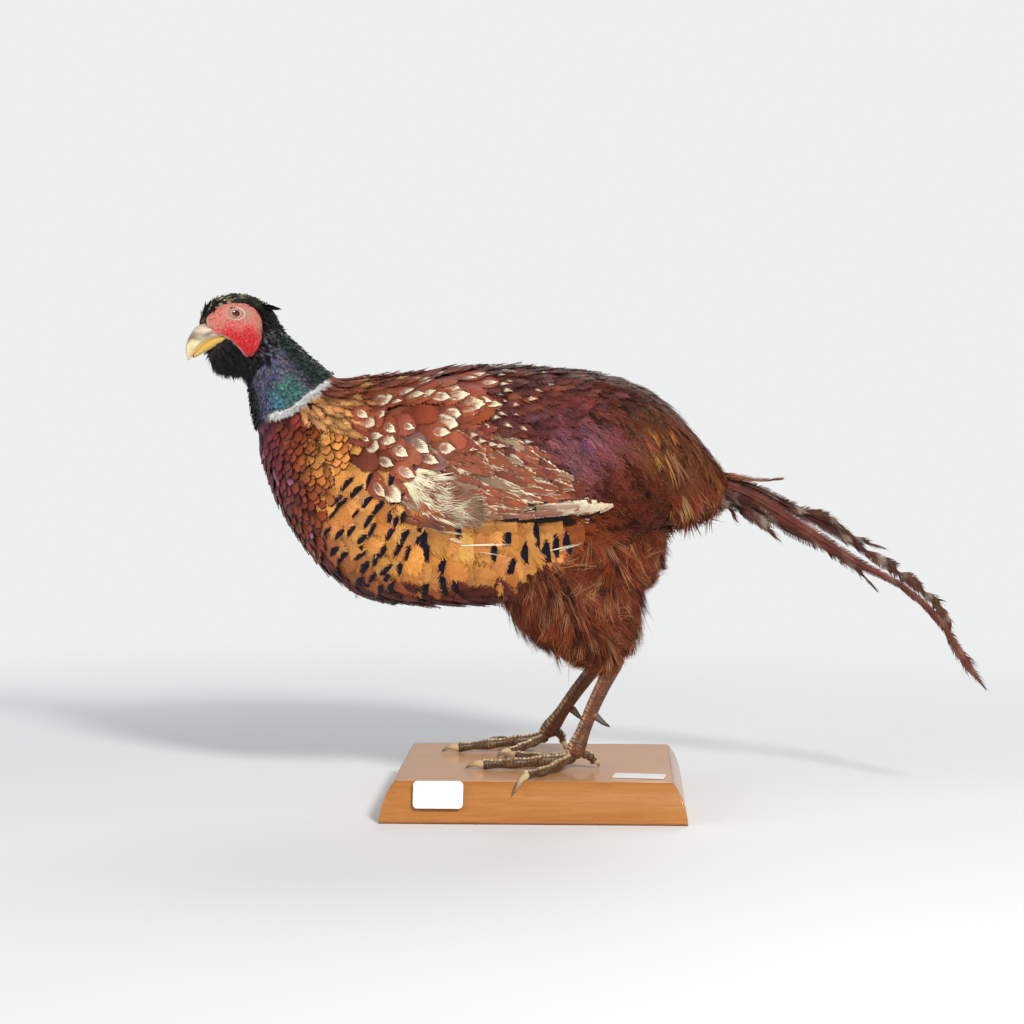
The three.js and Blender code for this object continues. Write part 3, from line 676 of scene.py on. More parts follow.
def barbed_vane(rows, barbs, core, sweep, seed, **shape):
    """A vane whose sides are many slender barbs, each curving forward from the core to the rim."""
    rng = np.random.default_rng(seed)
    strands = Strands()
    places = 0.98 * np.sin(np.linspace(0, math.pi / 2, rows))
    share, thin = np.array([0.0, 0.55, 1.0]), np.array([1.0, 0.85, 0.4])
    for side in (-1, 1):
        half = side * core / 2
        wide = half * outline(places, **shape)
        strands.strip(places, u=wide, wide=wide, across=half, fan=half)
        clump = 0.0
        steps = np.linspace(0.03, 0.97, barbs + 1)
        for low, high in zip(steps[:-1], steps[1:]):
            clump = 0.7 * clump + rng.normal(0, 0.025)
            middle, thick = (low + high) / 2, (high - low) / 2 * 1.15
            reach, lift = sweep * (1 - 0.55 * middle), rng.normal(0, 0.09)
            place = np.minimum(middle + reach * share**1.2 + clump * share, 0.995 - 0.01 * share)
            edge = side * (core * 0.85 + (1 - core * 0.85) * share)
            strands.strip(place, u=edge * outline(np.minimum(place, 0.985), **shape), h=lift * share,
                          long=thick * thin, across=edge, free=share)
    return strands.template()


STRAND_SHARES = np.array([0, 0.35, 0.7, 1])
STRAND_WIDTHS = np.array([0.8, 1, 0.7, 0.12])


def loose_vane(barbs, reach, thin, seed):
    """A thin shaft with long free barbs, as on the rump."""
    rng = np.random.default_rng(seed)
    strands = Strands()
    strands.strip(np.linspace(0, 0.97, 5), wide=thin, fan=thin)
    share = STRAND_SHARES
    for side in (-1, 1):
        for root in np.linspace(0.04, 0.86, barbs):
            spread = rng.uniform(0.5, 1.0) * (1 - 0.4 * root)
            long = min(reach * rng.uniform(0.75, 1.25), 1.0 - root)
            strands.strip(root + long * share, u=side * spread * share**0.8, h=rng.uniform(-0.4, 1.0) * share,
                          wide=thin * STRAND_WIDTHS, across=side * share, free=share)
    return strands.template()


def strand_tuft(count, thick, seed):
    """Fine strands that fan out from one root."""
    rng = np.random.default_rng(seed)
    strands = Strands()
    share = STRAND_SHARES
    for k in range(count):
        aim = (2 * (k + 0.5) / count - 1) * rng.uniform(0.6, 1.1)
        long, lift, curl = rng.uniform(0.6, 1.0), rng.uniform(-0.3, 1.0), rng.normal(0, 0.12)
        bent = aim * (0.25 + 0.75 * share) * 0.9 + curl * share**2
        strands.strip(long * share, u=bent, h=lift * share**1.5, wide=thick * STRAND_WIDTHS, across=aim,
                      free=share)
    return strands.template()


# ---------------------------------------------------------------- laying feathers on the skin
SPANS = 4  # places along a feather where it is draped on the skin
BAKE_PATCH = 0.012  # the widest patch of one feather in the OFBake map


def bake_cells(unwrap):
    """Each root's own cell in a square unwrap of the skin: ranked one way, then the other in each row."""
    count = len(unwrap)
    side = math.ceil(math.sqrt(count))
    row_of = np.empty(count, int)
    row_of[np.argsort(unwrap[:, 1], kind="stable")] = np.arange(count) // side
    cells = np.empty((count, 2))
    for row in range(row_of.max() + 1):
        inside = np.flatnonzero(row_of == row)
        ranks = np.argsort(np.argsort(unwrap[inside, 0], kind="stable"))
        cells[inside] = np.stack([(ranks + 0.5) / side, np.full(len(inside), (row + 0.5) / side)], -1)
    return cells, min(0.8 / side, BAKE_PATCH)


def lay(name, roots, headings, size, template, pattern, slot, *, tint, mark, unwrap, rng, lift=(0.3, 3.0),
        chance=1.0, ragged=0.08, camber=0.3, loft=1.0, wild=0.3):
    """One coat piece: a copy of the template at each root, draped on the skin along its heading.
    size is (lengths, widths), lift how far root and tip stand off the skin in mm, and wild how unevenly."""
    count = len(roots)
    lengths, widths = (np.broadcast_to(np.asarray(s, float) * MM, count) for s in size)
    point, heading = roots, headings
    spine, sides, normals, ways = [], [], [], []
    for _ in range(SPANS + 1):
        on, normal = drape(point)
        heading = unit(heading - (heading * normal).sum(-1, keepdims=True) * normal)
        side = np.cross(heading, normal) * (widths / 2)[:, None]
        left, _ = drape(on - side)
        right, _ = drape(on + side)
        spine.append(on)
        sides.append(((left - on), (right - on)))
        normals.append(normal)
        ways.append(heading)
        point = on + heading * (lengths / SPANS)[:, None]
    spine, normals, ways = (np.stack(x, 1) for x in (spine, normals, ways))
    lefts, rights = (np.stack([s[k] for s in sides], 1) for k in (0, 1))

    vertices = len(template.u)
    waver = ragged * rng.normal(0, 1, (3, count, template.strand.max() + 1))
    waver = waver[:, :, template.strand] * template.free
    u = template.u * (1 + waver[0])
    v = np.clip(template.v + 0.35 * waver[1], 0, 1.02)
    place = np.clip(v, 0, 1) * SPANS
    index = np.minimum(place.astype(int), SPANS - 1)
    share = (place - index)[..., None]
    which = np.arange(count)[:, None]

    def along(values):
        return values[which, index] * (1 - share) + values[which, index + 1] * share

    shift = np.where(u[..., None] < 0, along(lefts), along(rights)) * np.abs(u)[..., None]
    stand = lift[0] + (lift[1] - lift[0]) * v * (1 + wild * rng.normal(0, 1, (count, 1)))
    stand = stand - camber * u**2 + wild * rng.normal(0, 1, (count, 1)) * u * 0.7
    stand = np.maximum(stand + loft * (template.h + 2 * waver[2]), 0.05) * MM
    points = along(spine) + shift + unit(along(normals)) * stand[..., None]

    cells, patch = bake_cells(unwrap)
    lie = np.stack([(template.across + 1) / 2, template.v], -1)
    bake = cells[:, None, :] + (lie[None] - 0.5) * patch
    faces = (template.faces[None] + (np.arange(count) * vertices)[:, None, None]).reshape(-1, 4)

    def each(values):
        return np.repeat(values, vertices, axis=0)

    tint = np.clip(np.broadcast_to(tint, (count, 3)), 0, 1)
    mark = np.clip(np.broadcast_to(mark, (count, 3)), 0, 1)
    COAT_SAMPLES.append((roots, tint))
    build(name, points, faces, PLUMAGE[pattern], uvs={"lie": np.tile(lie, (count, 1)), "OFBake": bake},
          colours={"tint": each(tint), "mark": each(mark)},
          values={"chance": each(np.broadcast_to(chance, count))})


# ---------------------------------------------------------------- feathers in rows round the body
ROW_JITTER = 0.12  # how far roots stray from their rows, in rows


def rows_on_body(row, column, at_angle, rng):
    """Places, angles and height angles (alike on both sides) in offset rows all over the body. Row and column
    are the spacings in mm, the rows' where they pass one angle."""
    fine = np.linspace(0.02, len(BODY) - 1.05, 900)
    length = distances(section_point(BODY, fine, np.full(len(fine), float(at_angle))))
    places = np.interp(np.arange(0, length[-1], row * MM), length, fine)
    ring = np.linspace(-90, 270, 181)
    t, angle = [], []
    for i, place in enumerate(places):
        girth = distances(section_point(BODY, np.full(len(ring), place), ring))
        count = max(8, round(girth[-1] / (column * MM)))
        spots = (np.arange(count) + 0.5 * (i % 2) + rng.normal(0, ROW_JITTER, count)) / count
        angle.append(np.interp(np.mod(spots, 1) * girth[-1], girth, ring))
        pitch = places[min(i + 1, len(places) - 1)] - places[min(i, len(places) - 2)]
        t.append(place + pitch * rng.normal(0, ROW_JITTER, count))
    t, angle = np.clip(np.concatenate(t), 0.02, len(BODY) - 1.02), np.concatenate(angle)
    return t, angle, np.where(angle > 90, 180 - angle, angle)


def tip_place(t, angle, high, turn, length):
    """Place and height angle at the visible end of feathers with their roots at t and angle."""
    def apart(dt, degrees):
        ends = [section_point(BODY, t + sign * dt, angle + sign * degrees) for sign in (-1, 1)]
        return np.linalg.norm(ends[1] - ends[0], axis=-1) / MM / 2

    forward, lower = (length * way(np.radians(turn)) for way in (np.cos, np.sin))
    return t + forward * 0.2 / np.maximum(apart(0.2, 0), 0.5), high - lower * 2 / np.maximum(apart(0, 2), 0.5)


CAST_FROM = 25.0  # mm outside the body, from where its skin is looked for


def on_body(t, angle):
    """Points on the skin at places and angles of the body."""
    outside = section_point(BODY, t, angle, out=CAST_FROM * MM) + BIRD
    s = station_at(BODY, t)
    middle = np.stack([(s[..., 0] + s[..., 2]) / 2, 0 * t, (s[..., 1] + s[..., 3]) / 2], -1) + BIRD
    return cast(outside, middle)


def flow(t, angle, down):
    """Directions on the body, turned by so many degrees from straight back towards the belly."""
    here = section_point(BODY, t, angle)
    back = unit(section_point(BODY, t + 0.05, angle) - section_point(BODY, t - 0.05, angle))
    lower = np.where(angle > 90, angle + 2.0, angle - 2.0)
    belly = unit(section_point(BODY, t, lower) - here)
    belly = unit(belly - (belly * back).sum(-1, keepdims=True) * back)
    turn = np.radians(np.broadcast_to(down, np.shape(t)))[..., None]
    return back * np.cos(turn) + belly * np.sin(turn)


def border(*corners):
    """A border between two plumages, as a function through its corners."""
    at, value = zip(*corners)
    return lambda place: np.interp(place, at, value)


def on_side(tag, high):
    """Angles on one side of the body for height angles."""
    return np.asarray(high) if SIDES[tag] > 0 else 180 - np.asarray(high)


# Borders across the bird give a place along the body for a height angle.
neck_end = border((-90, 3.6), (-32, 3.55), (-20, 3.7), (-8, 3.9), (0, 4.0), (50, 4.02), (90, 4.0))
breast_rear = border((-90, 7.5), (-60, 7.5), (-40, 7.25), (-28, 7.1), (-8, 6.95), (6, 7.1))
scapular_front = border((-10, 8.2), (2, 7.3), (10, 6.95), (32, 6.6), (60, 7.1), (90, 7.3))
scapular_rear = border((-5, 8.5), (5, 8.8), (22, 9.1), (35, 9.3), (60, 9.0), (90, 8.6))
rump_front = border((-90, 11.3), (-50, 11.0), (-20, 10.95), (10, 10.2), (30, 10.5), (45, 11.1), (60, 11.7),
                    (90, 12.1))
# Borders along the bird give a height angle for a place along the body.
mantle_low = border((4.0, 8), (4.6, 5), (5.3, 0), (6.0, 5), (6.6, 11), (7.2, 10))
scapular_low = border((7.4, -4), (8.4, -1), (8.9, 12), (9.3, 20))
flank_high = border((7.2, -4), (8.0, 2))
belly_high = border((7.0, -68), (7.6, -64), (8.5, -60), (9.6, -58), (10.4, -52), (11.5, -48))
wing_low = border((8.2, -2), (8.75, -16), (9.2, -12.5), (9.8, -11.5), (10.5, -12.5), (11.05, -16),
                  (11.55, -22))
wing_high = border((8.2, 0), (8.7, 16), (9.2, 20), (9.6, 17), (10.1, 12), (10.5, 5), (10.9, -4), (11.2, -12),
                   (11.55, -19))


def some(rng, count, share):
    """1 for a random share of the feathers and 0 for the rest."""
    return (rng.random(count) < share).astype(float)


def varied(colour, rng, amount=0.12):
    """Feather to feather changes of brightness and hue."""
    count = len(colour)
    bright = 1 + amount * rng.normal(0, 1, (count, 1))
    return np.clip(colour * bright * (1 + 0.4 * amount * rng.normal(0, 1, (count, 3))), 0.002, 1)


RUMP_PARTING = 12.9  # the place on the body where the rump's coat goes over to the stern's
RUMP_FALL = 46.0  # degrees from straight back at the steepest
TIP_SHARE = 0.8  # how far along a feather the part lies that is seen
SIZE_SPREAD = 0.1  # how unevenly the feathers of a coat are sized


def lay_on_body(name, slot, pattern, template, t, angle, down, size, **lying):
    """A coat piece with its roots at places and angles of the body."""
    lay(name, on_body(t, angle), flow(t, angle, down), size, template, pattern, slot,
        unwrap=np.stack([angle, t], -1), **lying)


def coat(name, slot, pattern, template, seed, pitch, at_angle, keep, size, colour, down=0.0, wander=5.0,
         first_root=0.0, **lying):
    """A piece of plumage in rows, pitch mm apart along and across where they pass at_angle. keep and colour
    go by the place and height where each feather's tip is seen; colour gives tint, mark and the chance of
    the mark. first_root is how far behind the neck's end roots begin."""
    rng = np.random.default_rng(seed)
    t, angle, high = rows_on_body(*pitch, at_angle, rng)
    turn = down(t, high) if callable(down) else np.full(len(t), float(down))
    seen, level = tip_place(t, angle, high, turn, size[0] * TIP_SHARE)
    kept = keep(seen, level) & ((t > neck_end(high) + first_root) | (seen < neck_end(level)))
    t, angle, turn, seen, level = (part[kept] for part in (t, angle, turn, seen, level))
    turn = turn + rng.normal(0, wander, len(t))
    tint, mark, chance = colour(seen, level, rng)
    size = [s * (1 + SIZE_SPREAD * rng.normal(0, 1, len(t))) for s in size]
    lay_on_body(name, slot, pattern, template, t, angle, turn, size, tint=tint, mark=mark, chance=chance,
                rng=rng, **lying)


def neck_colour(t, high, rng):
    count = len(t)
    tint = layered(
        mixed(NECK_GREY, NAPE_GREEN, smooth(30, 55, high)),
        (NECK_BLUE, 0.7 * hill(t, 2.3, 0.55) * hill(high, -2, 24) * some(rng, count, 0.55)),
        (NECK_BLUE, 0.5 * hill(t, 3.0, 0.7) * hill(high, -38, 12) * some(rng, count, 0.6)),
    )
    teal = smooth(2.65, 3.1, t) * smooth(40, 22, high) * smooth(-34, -16, high)
    tint = layered(
        tint,
        (mixed(NECK_TEAL, NECK_SEA, smooth(6, -24, high)), 0.85 * (teal * (0.5 + 0.5 * rng.random(count)))),
        (NECK_FRONT, smooth(-36, -56, high)),
        (NAPE_GREEN, 0.7 * smooth(1.6, 0.6, t)),
    )
    return varied(tint, rng, 0.24), tint * 0.5, 1.0


def ring_colour(t, high, rng):
    return varied(np.tile(RING_WHITE, (len(t), 1)), rng, 0.05), RING_WHITE * 0.9, 1.0


def breast_colour(t, high, rng):
    tint = layered(
        mixed(RUST, COPPER, smooth(4.6, 6.0, t + 0.02 * high)) * 0.8,
        # Painted sheen: the purple towards the breast's lower front edge, and the pink on some feathers
        # there.
        (BREAST_PURPLE, 0.8 * smooth(-22, -46, high) * smooth(7.8, 5.0, t) + 0.35 * smooth(5.4, 4.2, t)),
        (GOLD_SCALE, 0.85 * (smooth(5.7, 6.5, t) * smooth(-30, -6, high))),
        (BREAST_SHEEN_PINK, some(rng, len(t), 0.1 * (smooth(-26, -42, high) > 0.5))),
        (BELLY, 0.6 * smooth(-60, -82, high) * smooth(5.5, 7.0, t)),
    )
    line = 0.25 + 0.75 * smooth(4.9, 5.8, t)
    return varied(tint, rng, 0.2), mixed(INK, SCALE_BROWN, smooth(-20, 10, high)), line


def mantle_colour(t, high, rng):
    count = len(t)
    tint = layered(
        MANTLE_GOLD,
        (MANTLE_RED, smooth(26, 44, high) + 0.25 * rng.random(count)),
        (RUST, 0.55 * smooth(5.2, 4.3, t) + 0.3 * smooth(0.72, 0.9, rng.random(count))),
        (MAROON * 0.5, some(rng, count, 0.05)),
        (GOLD_PALE * 0.8, some(rng, count, 0.1)),
    )
    return varied(tint, rng, 0.18), tint * 0.35, 1.0


def scapular_colour(t, high, rng):
    count = len(t)
    tint = layered(
        mixed(CHESTNUT, MAROON, 0.7 * smooth(48, 76, high)),
        # Painted sheen: purple-grey on a few feathers.
        (SCAPULAR_SHEEN_GREY, some(rng, count, 0.05)),
        (SCAPULAR_RED, some(rng, count, 0.12)),
    )
    size = np.clip(1.3 + 0.28 * rng.normal(0, 1, count) - 0.5 * smooth(45, 75, high), 0.35, 1.8)
    size = size * some(rng, count, 0.68 - 0.15 * smooth(50, 80, high))
    return varied(tint, rng, 0.18), varied(np.tile(CREAM, (count, 1)), rng, 0.05), size


def back_colour(t, high, rng):
    count = len(t)
    tint = layered(
        BACK_RED,
        (BACK_DARK, 0.7 * rng.random(count) + 0.4 * smooth(40, 70, high)),
        (BACK_VIOLET, 0.6 * hill(high, 24, 20) * smooth(9.2, 10.2, t) * rng.random(count)),
        (BACK_BROWN, some(rng, count, 0.09)),
    )
    flecked = rng.random(count) < 0.6 * smooth(10.6, 9.3, t)
    return (varied(tint, rng, 0.2), varied(np.tile(CREAM * 0.9, (count, 1)), rng, 0.1),
            np.where(flecked, 1.0, 0.45))


def flank_colour(t, high, rng):
    count = len(t)
    tint = layered(
        GOLD,
        (GOLD_PALE, rng.random(count) * 0.5),
        (FLANK_COPPER, 0.25 * some(rng, count, 0.25)),
        (FLANK_COPPER, 0.75 * smooth(-36, -58, high + 6 * (t - 8.5))),
        (FLANK_RED * 0.8, 0.9 * smooth(10.5, 11.1, t)),
        # Painted shadow: near-black just under the wing's lower edge, where the wing stands off the flank.
        (BLACK, 0.95 * smooth(-3.5, -1.5, high - wing_low(t)) * smooth(9.5, 9.8, t)),
    )
    spotted = 0.93 - 0.18 * smooth(8.4, 7.6, t) - 0.9 * hill(t, 9.45, 0.42) * smooth(-52, -42, high)
    spotted = spotted - 0.5 * hill(t, 8.6, 0.25) - 0.35 * smooth(9.7, 10.2, t) - 0.9 * smooth(10.75, 11.1, t)
    spotted = spotted - 0.9 * smooth(9.4, 9.8, t) * smooth(-36, -42, high)
    chance = some(rng, count, spotted)
    return varied(tint, rng, 0.11), INK, chance


def belly_colour(t, high, rng):
    count = len(t)
    tint = layered(
        BELLY,
        (FLANK_COPPER, 0.4 * rng.random(count) + 0.25 * smooth(-75, -55, high)),
        (FLUFF_DARK, smooth(9.8, 10.8, t)),
        (BREAST_PURPLE, some(rng, count, 0.05)),
    )
    return varied(tint, rng, 0.2), INK, some(rng, count, 0.5 * smooth(9.4, 8.8, t))


def rump_colour(t, high, rng):
    count = len(t)
    tint = layered(
        RUMP_RED,
        (RUMP_BROWN, smooth(11.6, 12.6, t) * (0.6 + 0.6 * rng.random(count))),
        (MAUVE, 1.2 * hill(t, 10.85, 0.7) * hill(high, 14, 20)),
        (OLIVE, 0.6 * smooth(11.7, 12.5, t) * hill(high, 22, 24) * rng.random(count)),
    )
    green = smooth(10.9, 11.6, t) * smooth(13.2, 12.2, t) * hill(high, 46, 18) * rng.random(count)
    tint = layered(
        tint,
        (BACK_GREEN, 0.75 * green),
        # Painted shade: darker red along the rump's lower side.
        (RUMP_RED * 0.45, 0.85 * smooth(2, -16, high) * hill(t, 12.1, 1.3)),
        (BACK_DARK, 0.5 * smooth(48, 76, high) * (0.5 + 0.5 * rng.random(count))),
        (FLANK_RED * 0.8, 0.8 * smooth(11.9, 11.2, t) * smooth(-12, -20, high)),
        (RUMP_OCHRE, some(rng, count, 0.04 * ((t > 11.8) & (high > -5)))),
    )
    tint = layered(tint, (tint * 0.35, some(rng, count, 0.1)), (FLUFF_DARK, 0.6 * smooth(-35, -60, high)))
    glints = smooth(12, 24, high) * smooth(13.4, 12.2, t) * 0.8 + 0.15 * smooth(6, 14, high)
    return varied(tint, rng, 0.27), mixed(tint, RUMP_TAN, 0.3), glints


def rump_turn(t, high):
    """Degrees down: the rump's feathers hang over its sides."""
    return RUMP_FALL * smooth(85, 30, high) * smooth(-50, -20, high) * smooth(15.5, 12.6, t)


VANES = {  # material name, pattern, roughness, barbs, patchy, specular and, if not the usual one, shade
    "neck": ("neck_feathers", plain_vane, 0.36, 0.5, 0.15, 0.35),
    "ring": ("ring_feathers", plain_vane, 0.7, 0.05, 0.0, 0.5, 0.0),
    "breast": ("breast_feathers", scaled_vane, 0.42, 0.35, 0.2, 0.18, 0.7),
    "mantle": ("mantle_feathers", plain_vane, 0.55, 0.55, 0.3, 0.15),
    "scapular": ("scapular_feathers", drop_vane, 0.5, 0.3, 0.15, 0.15),
    "back": ("back_feathers", fleck_vane, 0.45, 0.5, 0.35, 0.12),
    "flank": ("flank_feathers", spotted_vane, 0.5, 0.42, 0.15, 0.12, 0.4),
    "belly": ("belly_feathers", spotted_vane, 0.55, 0.4, 0.3, 0.15),
    "wing": ("wing_feathers", streaked_vane, 0.55, 0.3, 0.2, 0.15),
    "loose": ("loose_feathers", glinting_vane, 0.45, 0.45, 0.35, 0.1),
    "fluff": ("fluff", plain_vane, 0.75, 0.1, 0.2, 0.12),
    "dark": ("head_feathers", plain_vane, 0.5, 0.3, 0.2, 0.3),
    "tail": ("tail_feathers", barred_vane, 0.5, 0.35, 0.25, 0.2, 0.15),
}
PLUMAGE = {key: feather_material(*vane) for key, vane in VANES.items()}
SMALL = barbed_vane(4, 6, core=0.4, sweep=0.3, seed=3, belly=0.5, tip=0.2)
SCALE = barbed_vane(8, 10, core=0.82, sweep=0.07, seed=4, belly=0.66, point=2.3)
LARGE = barbed_vane(6, 20, core=0.3, sweep=0.26, seed=5, belly=0.62)
DROP = barbed_vane(10, 18, core=0.84, sweep=0.06, seed=6, belly=0.62, point=1.7)
BROAD = barbed_vane(10, 26, core=0.7, sweep=0.1, seed=7, belly=0.8, point=2.7, root=0.5)
LONG = barbed_vane(12, 20, core=0.75, sweep=0.07, seed=8, belly=0.6, root=0.5, point=1.8)
LOOSE = loose_vane(11, reach=0.4, thin=0.05, seed=5)
TUFT = strand_tuft(11, 0.05, seed=6)
COARSE = strand_tuft(8, 0.11, seed=9)
HAIR = strand_tuft(3, 0.05, seed=10)


def on_neck(t, high):
    return (t > 0.8) & (t < neck_end(high) + 0.1)


def on_ring(t, high):
    return (high > -33) & (high < 56) & (np.abs(t - neck_end(high) - 0.3) < 0.17)


def on_breast(t, high):
    before = (t < breast_rear(high)) & (t < scapular_front(high) + 0.1)
    return before & (t > neck_end(high) + 0.1) & (high < mantle_low(t))


def on_mantle(t, high):
    return (t > neck_end(high) + 0.2) & (high > mantle_low(t) - 2) & (t < scapular_front(high))


def on_scapulars(t, high):
    low = np.where(t < 7.4, mantle_low(t) - 12, scapular_low(t))
    return (t > scapular_front(high) + 0.1) & (t < scapular_rear(high) + 0.2) & (high > low)


def on_back(t, high):
    return (t > scapular_rear(high)) & (t < rump_front(high) + 0.5) & (high > wing_high(t) - 6)


def on_front_flank(t, high):
    return (t > breast_rear(high)) & (t < 8.6) & (high > belly_high(t)) & (high < flank_high(t))


def on_rear_flank(t, high):
    return (t > 8.5) & (t < 11.3) & (high > belly_high(t)) & (high < wing_low(t) + 1.5)


def on_belly(t, high):
    return (t > breast_rear(high)) & (t < 12.4) & (high < belly_high(t) + 3)


def on_rump(t, high):
    off_wing = (high > wing_high(t) + 2) | (high < wing_low(t) - 1) | (t > 11.6)
    return (t > rump_front(high)) & (t <= RUMP_PARTING) & off_wing


def on_stern(t, high):
    return (t > RUMP_PARTING) & (t <= 16.6) & (t > rump_front(high))


def body_coat():
    coat("neck_coat", "dark_plumage", "neck", SMALL, 11, (2.4, 2.9), 20, on_neck, (7.0, 4.2), neck_colour,
         lift=(0.3, 1.8), ragged=0.15, camber=0.15)
    coat("ring_coat", "dark_plumage", "ring", COARSE, 12, (1.1, 1.5), 20, on_ring, (5.6, 3.4), ring_colour,
         lift=(1.6, 3.4), ragged=0.25, camber=0.1, wild=0.4)
    coat("breast_coat", "body_plumage", "breast", SCALE, 13, (5.2, 6.2), -15, on_breast, (15.0, 8.2),
         breast_colour, down=6, wander=8.0, wild=0.16, first_root=0.1)
    coat("mantle_coat", "body_plumage", "mantle", LARGE, 14, (4.6, 5.4), 30, on_mantle, (24.0, 6.2),
         mantle_colour, down=2, wild=0.4, ragged=0.16, wander=10.0, first_root=0.15)
    coat("scapular_coat", "wing_plumage", "scapular", DROP, 15, (9.4, 12.0), 25, on_scapulars, (30.0, 16.0),
         scapular_colour, down=4, wander=11.0, wild=0.1, ragged=0.04, lift=(0.8, 4.0))
    coat("back_coat", "body_plumage", "back", LARGE, 16, (5.6, 6.6), 60, on_back, (20.0, 9.0), back_colour,
         down=12, ragged=0.14, wander=9.0)
    coat("flank_front_coat", "body_plumage", "flank", BROAD, 17, (7.6, 14.0), -30, on_front_flank,
         (24.0, 17.0), flank_colour, down=2, wild=0.1, ragged=0.09)
    coat("flank_coat", "body_plumage", "flank", BROAD, 20, (10.4, 16.0), -30, on_rear_flank, (32.0, 22.0),
         flank_colour, wild=0.1, ragged=0.09)
    coat("belly_coat", "body_plumage", "belly", LARGE, 18, (7.6, 8.8), -75, on_belly, (24.0, 12.0),
         belly_colour, ragged=0.15)
    for name, part in (("rump_coat", on_rump), ("stern_coat", on_stern)):
        coat(name, "body_plumage", "loose", LOOSE, 19, (4.4, 4.7), 20, part, (27.0, 9.0), rump_colour,
             down=rump_turn, lift=(0.5, 3.0), loft=0.8, ragged=0.12, wander=8.0)


# ---------------------------------------------------------------- wings
def wing_colour(t, high, rng):
    count = len(t)
    tint = layered(WING_BROWN, (CHESTNUT, rng.random(count)), (WING_GREY, some(rng, count, 0.12)))
    broad = np.clip(0.3 + 0.18 * rng.normal(0, 1, count) + 0.25 * hill(high - wing_low(t), 2, 3), 0.02, 0.7)
    return varied(tint, rng, 0.1), varied(np.tile(CREAM * 0.92, (count, 1)), rng, 0.08), broad


def wing_turn(t, high):
    """Degrees down, by how far above the wing's lower edge a feather lies."""
    return np.interp(high - wing_low(t), [0, 8, 40], [2, 14, 30])


def flight_colour(t, rng):
    count = len(t)
    pale = smooth(9.9, 10.4, t)
    tint = mixed(WING_BROWN, mixed(WING_GREY, CREAM, 0.3 + 0.5 * rng.random(count)), 0.2 + 0.8 * pale)
    margin = rng.uniform(0.35, 0.8, count) * (0.55 + 0.45 * pale)
    return varied(tint, rng, 0.08), varied(np.tile(CREAM, (count, 1)), rng, 0.05), margin


# The closed wing's long feathers, front to rear: place on the body, degrees above its edge, length in mm.
FLIGHT = [(9.3, 2, 26), (9.6, 1, 34), (9.9, 1, 38), (10.1, 3, 40), (10.3, 1, 38), (10.5, 3, 34),
          (10.7, 1, 32), (10.9, 1, 26), (11.1, 0.5, 22)]
# The shadow under the wing's edge is painted, as a row of near-black feathers.
WING_SHADOW = {"t": (9.7, 10.9), "feathers": 14, "below": 2.6}  # dark feathers so many degrees below the wing
PALE_PATCH = {"t": (8.15, 9.2), "tufts": 150}  # bleached tufts at the wing's bend
pale_rise = border((8.1, 3), (8.45, 12), (9.0, 7), (9.2, 3))  # degrees from its lower edge to its upper one


def on_wing(t, high):
    return (t > 8.3) & (t < 11.35) & (high > wing_low(t) + 1) & (high < wing_high(t) + 1)


def flight_coat(tag, rng):
    t, rise, longest = np.array(FLIGHT, float).T
    tint, mark, chance = flight_colour(t, rng)
    down = np.degrees(np.gradient(-wing_low(t), t) * 0.004) + 3
    lay_on_body(f"flight_coat_{tag}", "wing_plumage", "wing", LONG, t, on_side(tag, wing_low(t) + rise), down,
                (longest, 6.0), tint=tint, mark=mark, chance=chance, rng=rng, lift=(2.2, 3.9), wild=0.1,
                ragged=0.06)


# Painted shadow: near-black feathers in a row just under the wing's edge.
def wing_shadow_coat(tag, rng):
    t = np.linspace(*WING_SHADOW["t"], WING_SHADOW["feathers"])
    height = wing_low(t) - WING_SHADOW["below"] * smooth(9.6, 10.2, t)
    lay_on_body(f"wing_shadow_coat_{tag}", "wing_plumage", "dark", LONG, t, on_side(tag, height), 3.0, (18.0, 5.0),
                tint=BLACK * 0.6, mark=BLACK * 0.6, rng=rng, lift=(1.6, 3.0), wild=0.1, ragged=0.1)


def pale_coat(tag, rng):
    count = PALE_PATCH["tufts"]
    t = rng.uniform(*PALE_PATCH["t"], count)
    height = wing_low(t) + 2.5 + pale_rise(t) * rng.random(count)
    stain = hill(t, 8.42, 0.12) * hill(height, -5, 3) > 0.4
    grey = 0.7 * smooth(8.6, 8.95, t) + 0.3 * rng.normal(0, 1, count) - 0.1
    tint = layered(CREAM, (WING_GREY, grey), (WING_BROWN, some(rng, count, 0.3)), (WING_STAIN, stain))
    down = 6 + 22 * hill(t, 8.3, 0.3) * smooth(-14, -2, height) + rng.normal(0, 17, count)
    size = (rng.uniform(15, 24, count), 8.0)
    lay_on_body(f"pale_coat_{tag}", "wing_plumage", "ring", COARSE, t, on_side(tag, height), down, size,
                tint=varied(tint, rng, 0.12), mark=tint * 0.9, rng=rng, lift=(2.4, 4.2), wild=0.25,
                ragged=0.15)


def wing_coat():
    coat("wing_coat", "wing_plumage", "wing", LONG, 21, (8.0, 5.4), 0, on_wing, (40.0, 8.5), wing_colour,
         down=wing_turn, lift=(0.6, 3.0), ragged=0.06, wild=0.15, wander=6.0)
    rng = np.random.default_rng(22)
    for tag in SIDES:
        flight_coat(tag, rng)
        wing_shadow_coat(tag, rng)
        pale_coat(tag, rng)


# Ruffled tufts seen on the left side: place, height, turn down, length and width in mm, how many, colour.
RUFFLES = (
    (9.3, -31, -3, 34, 2.4, 1, CREAM),
    (9.6, -29, 6, 20, 1.2, 1, CREAM),
    (10.75, -33, -10, 18, 1.8, 2, CREAM),
    (9.0, -20, 4, 16, 3, 3, CREAM),
    (9.2, -8, 16, 18, 9, 14, linear("#8a6a50")),
    (12.75, 9, 56, 26, 1.6, 2, linear("#b98044")),
    (12.9, 12, 52, 24, 3, 4, linear("#8a5a34")),
    (8.0, -86, 75, 12, 2, 2, BLACK),
)


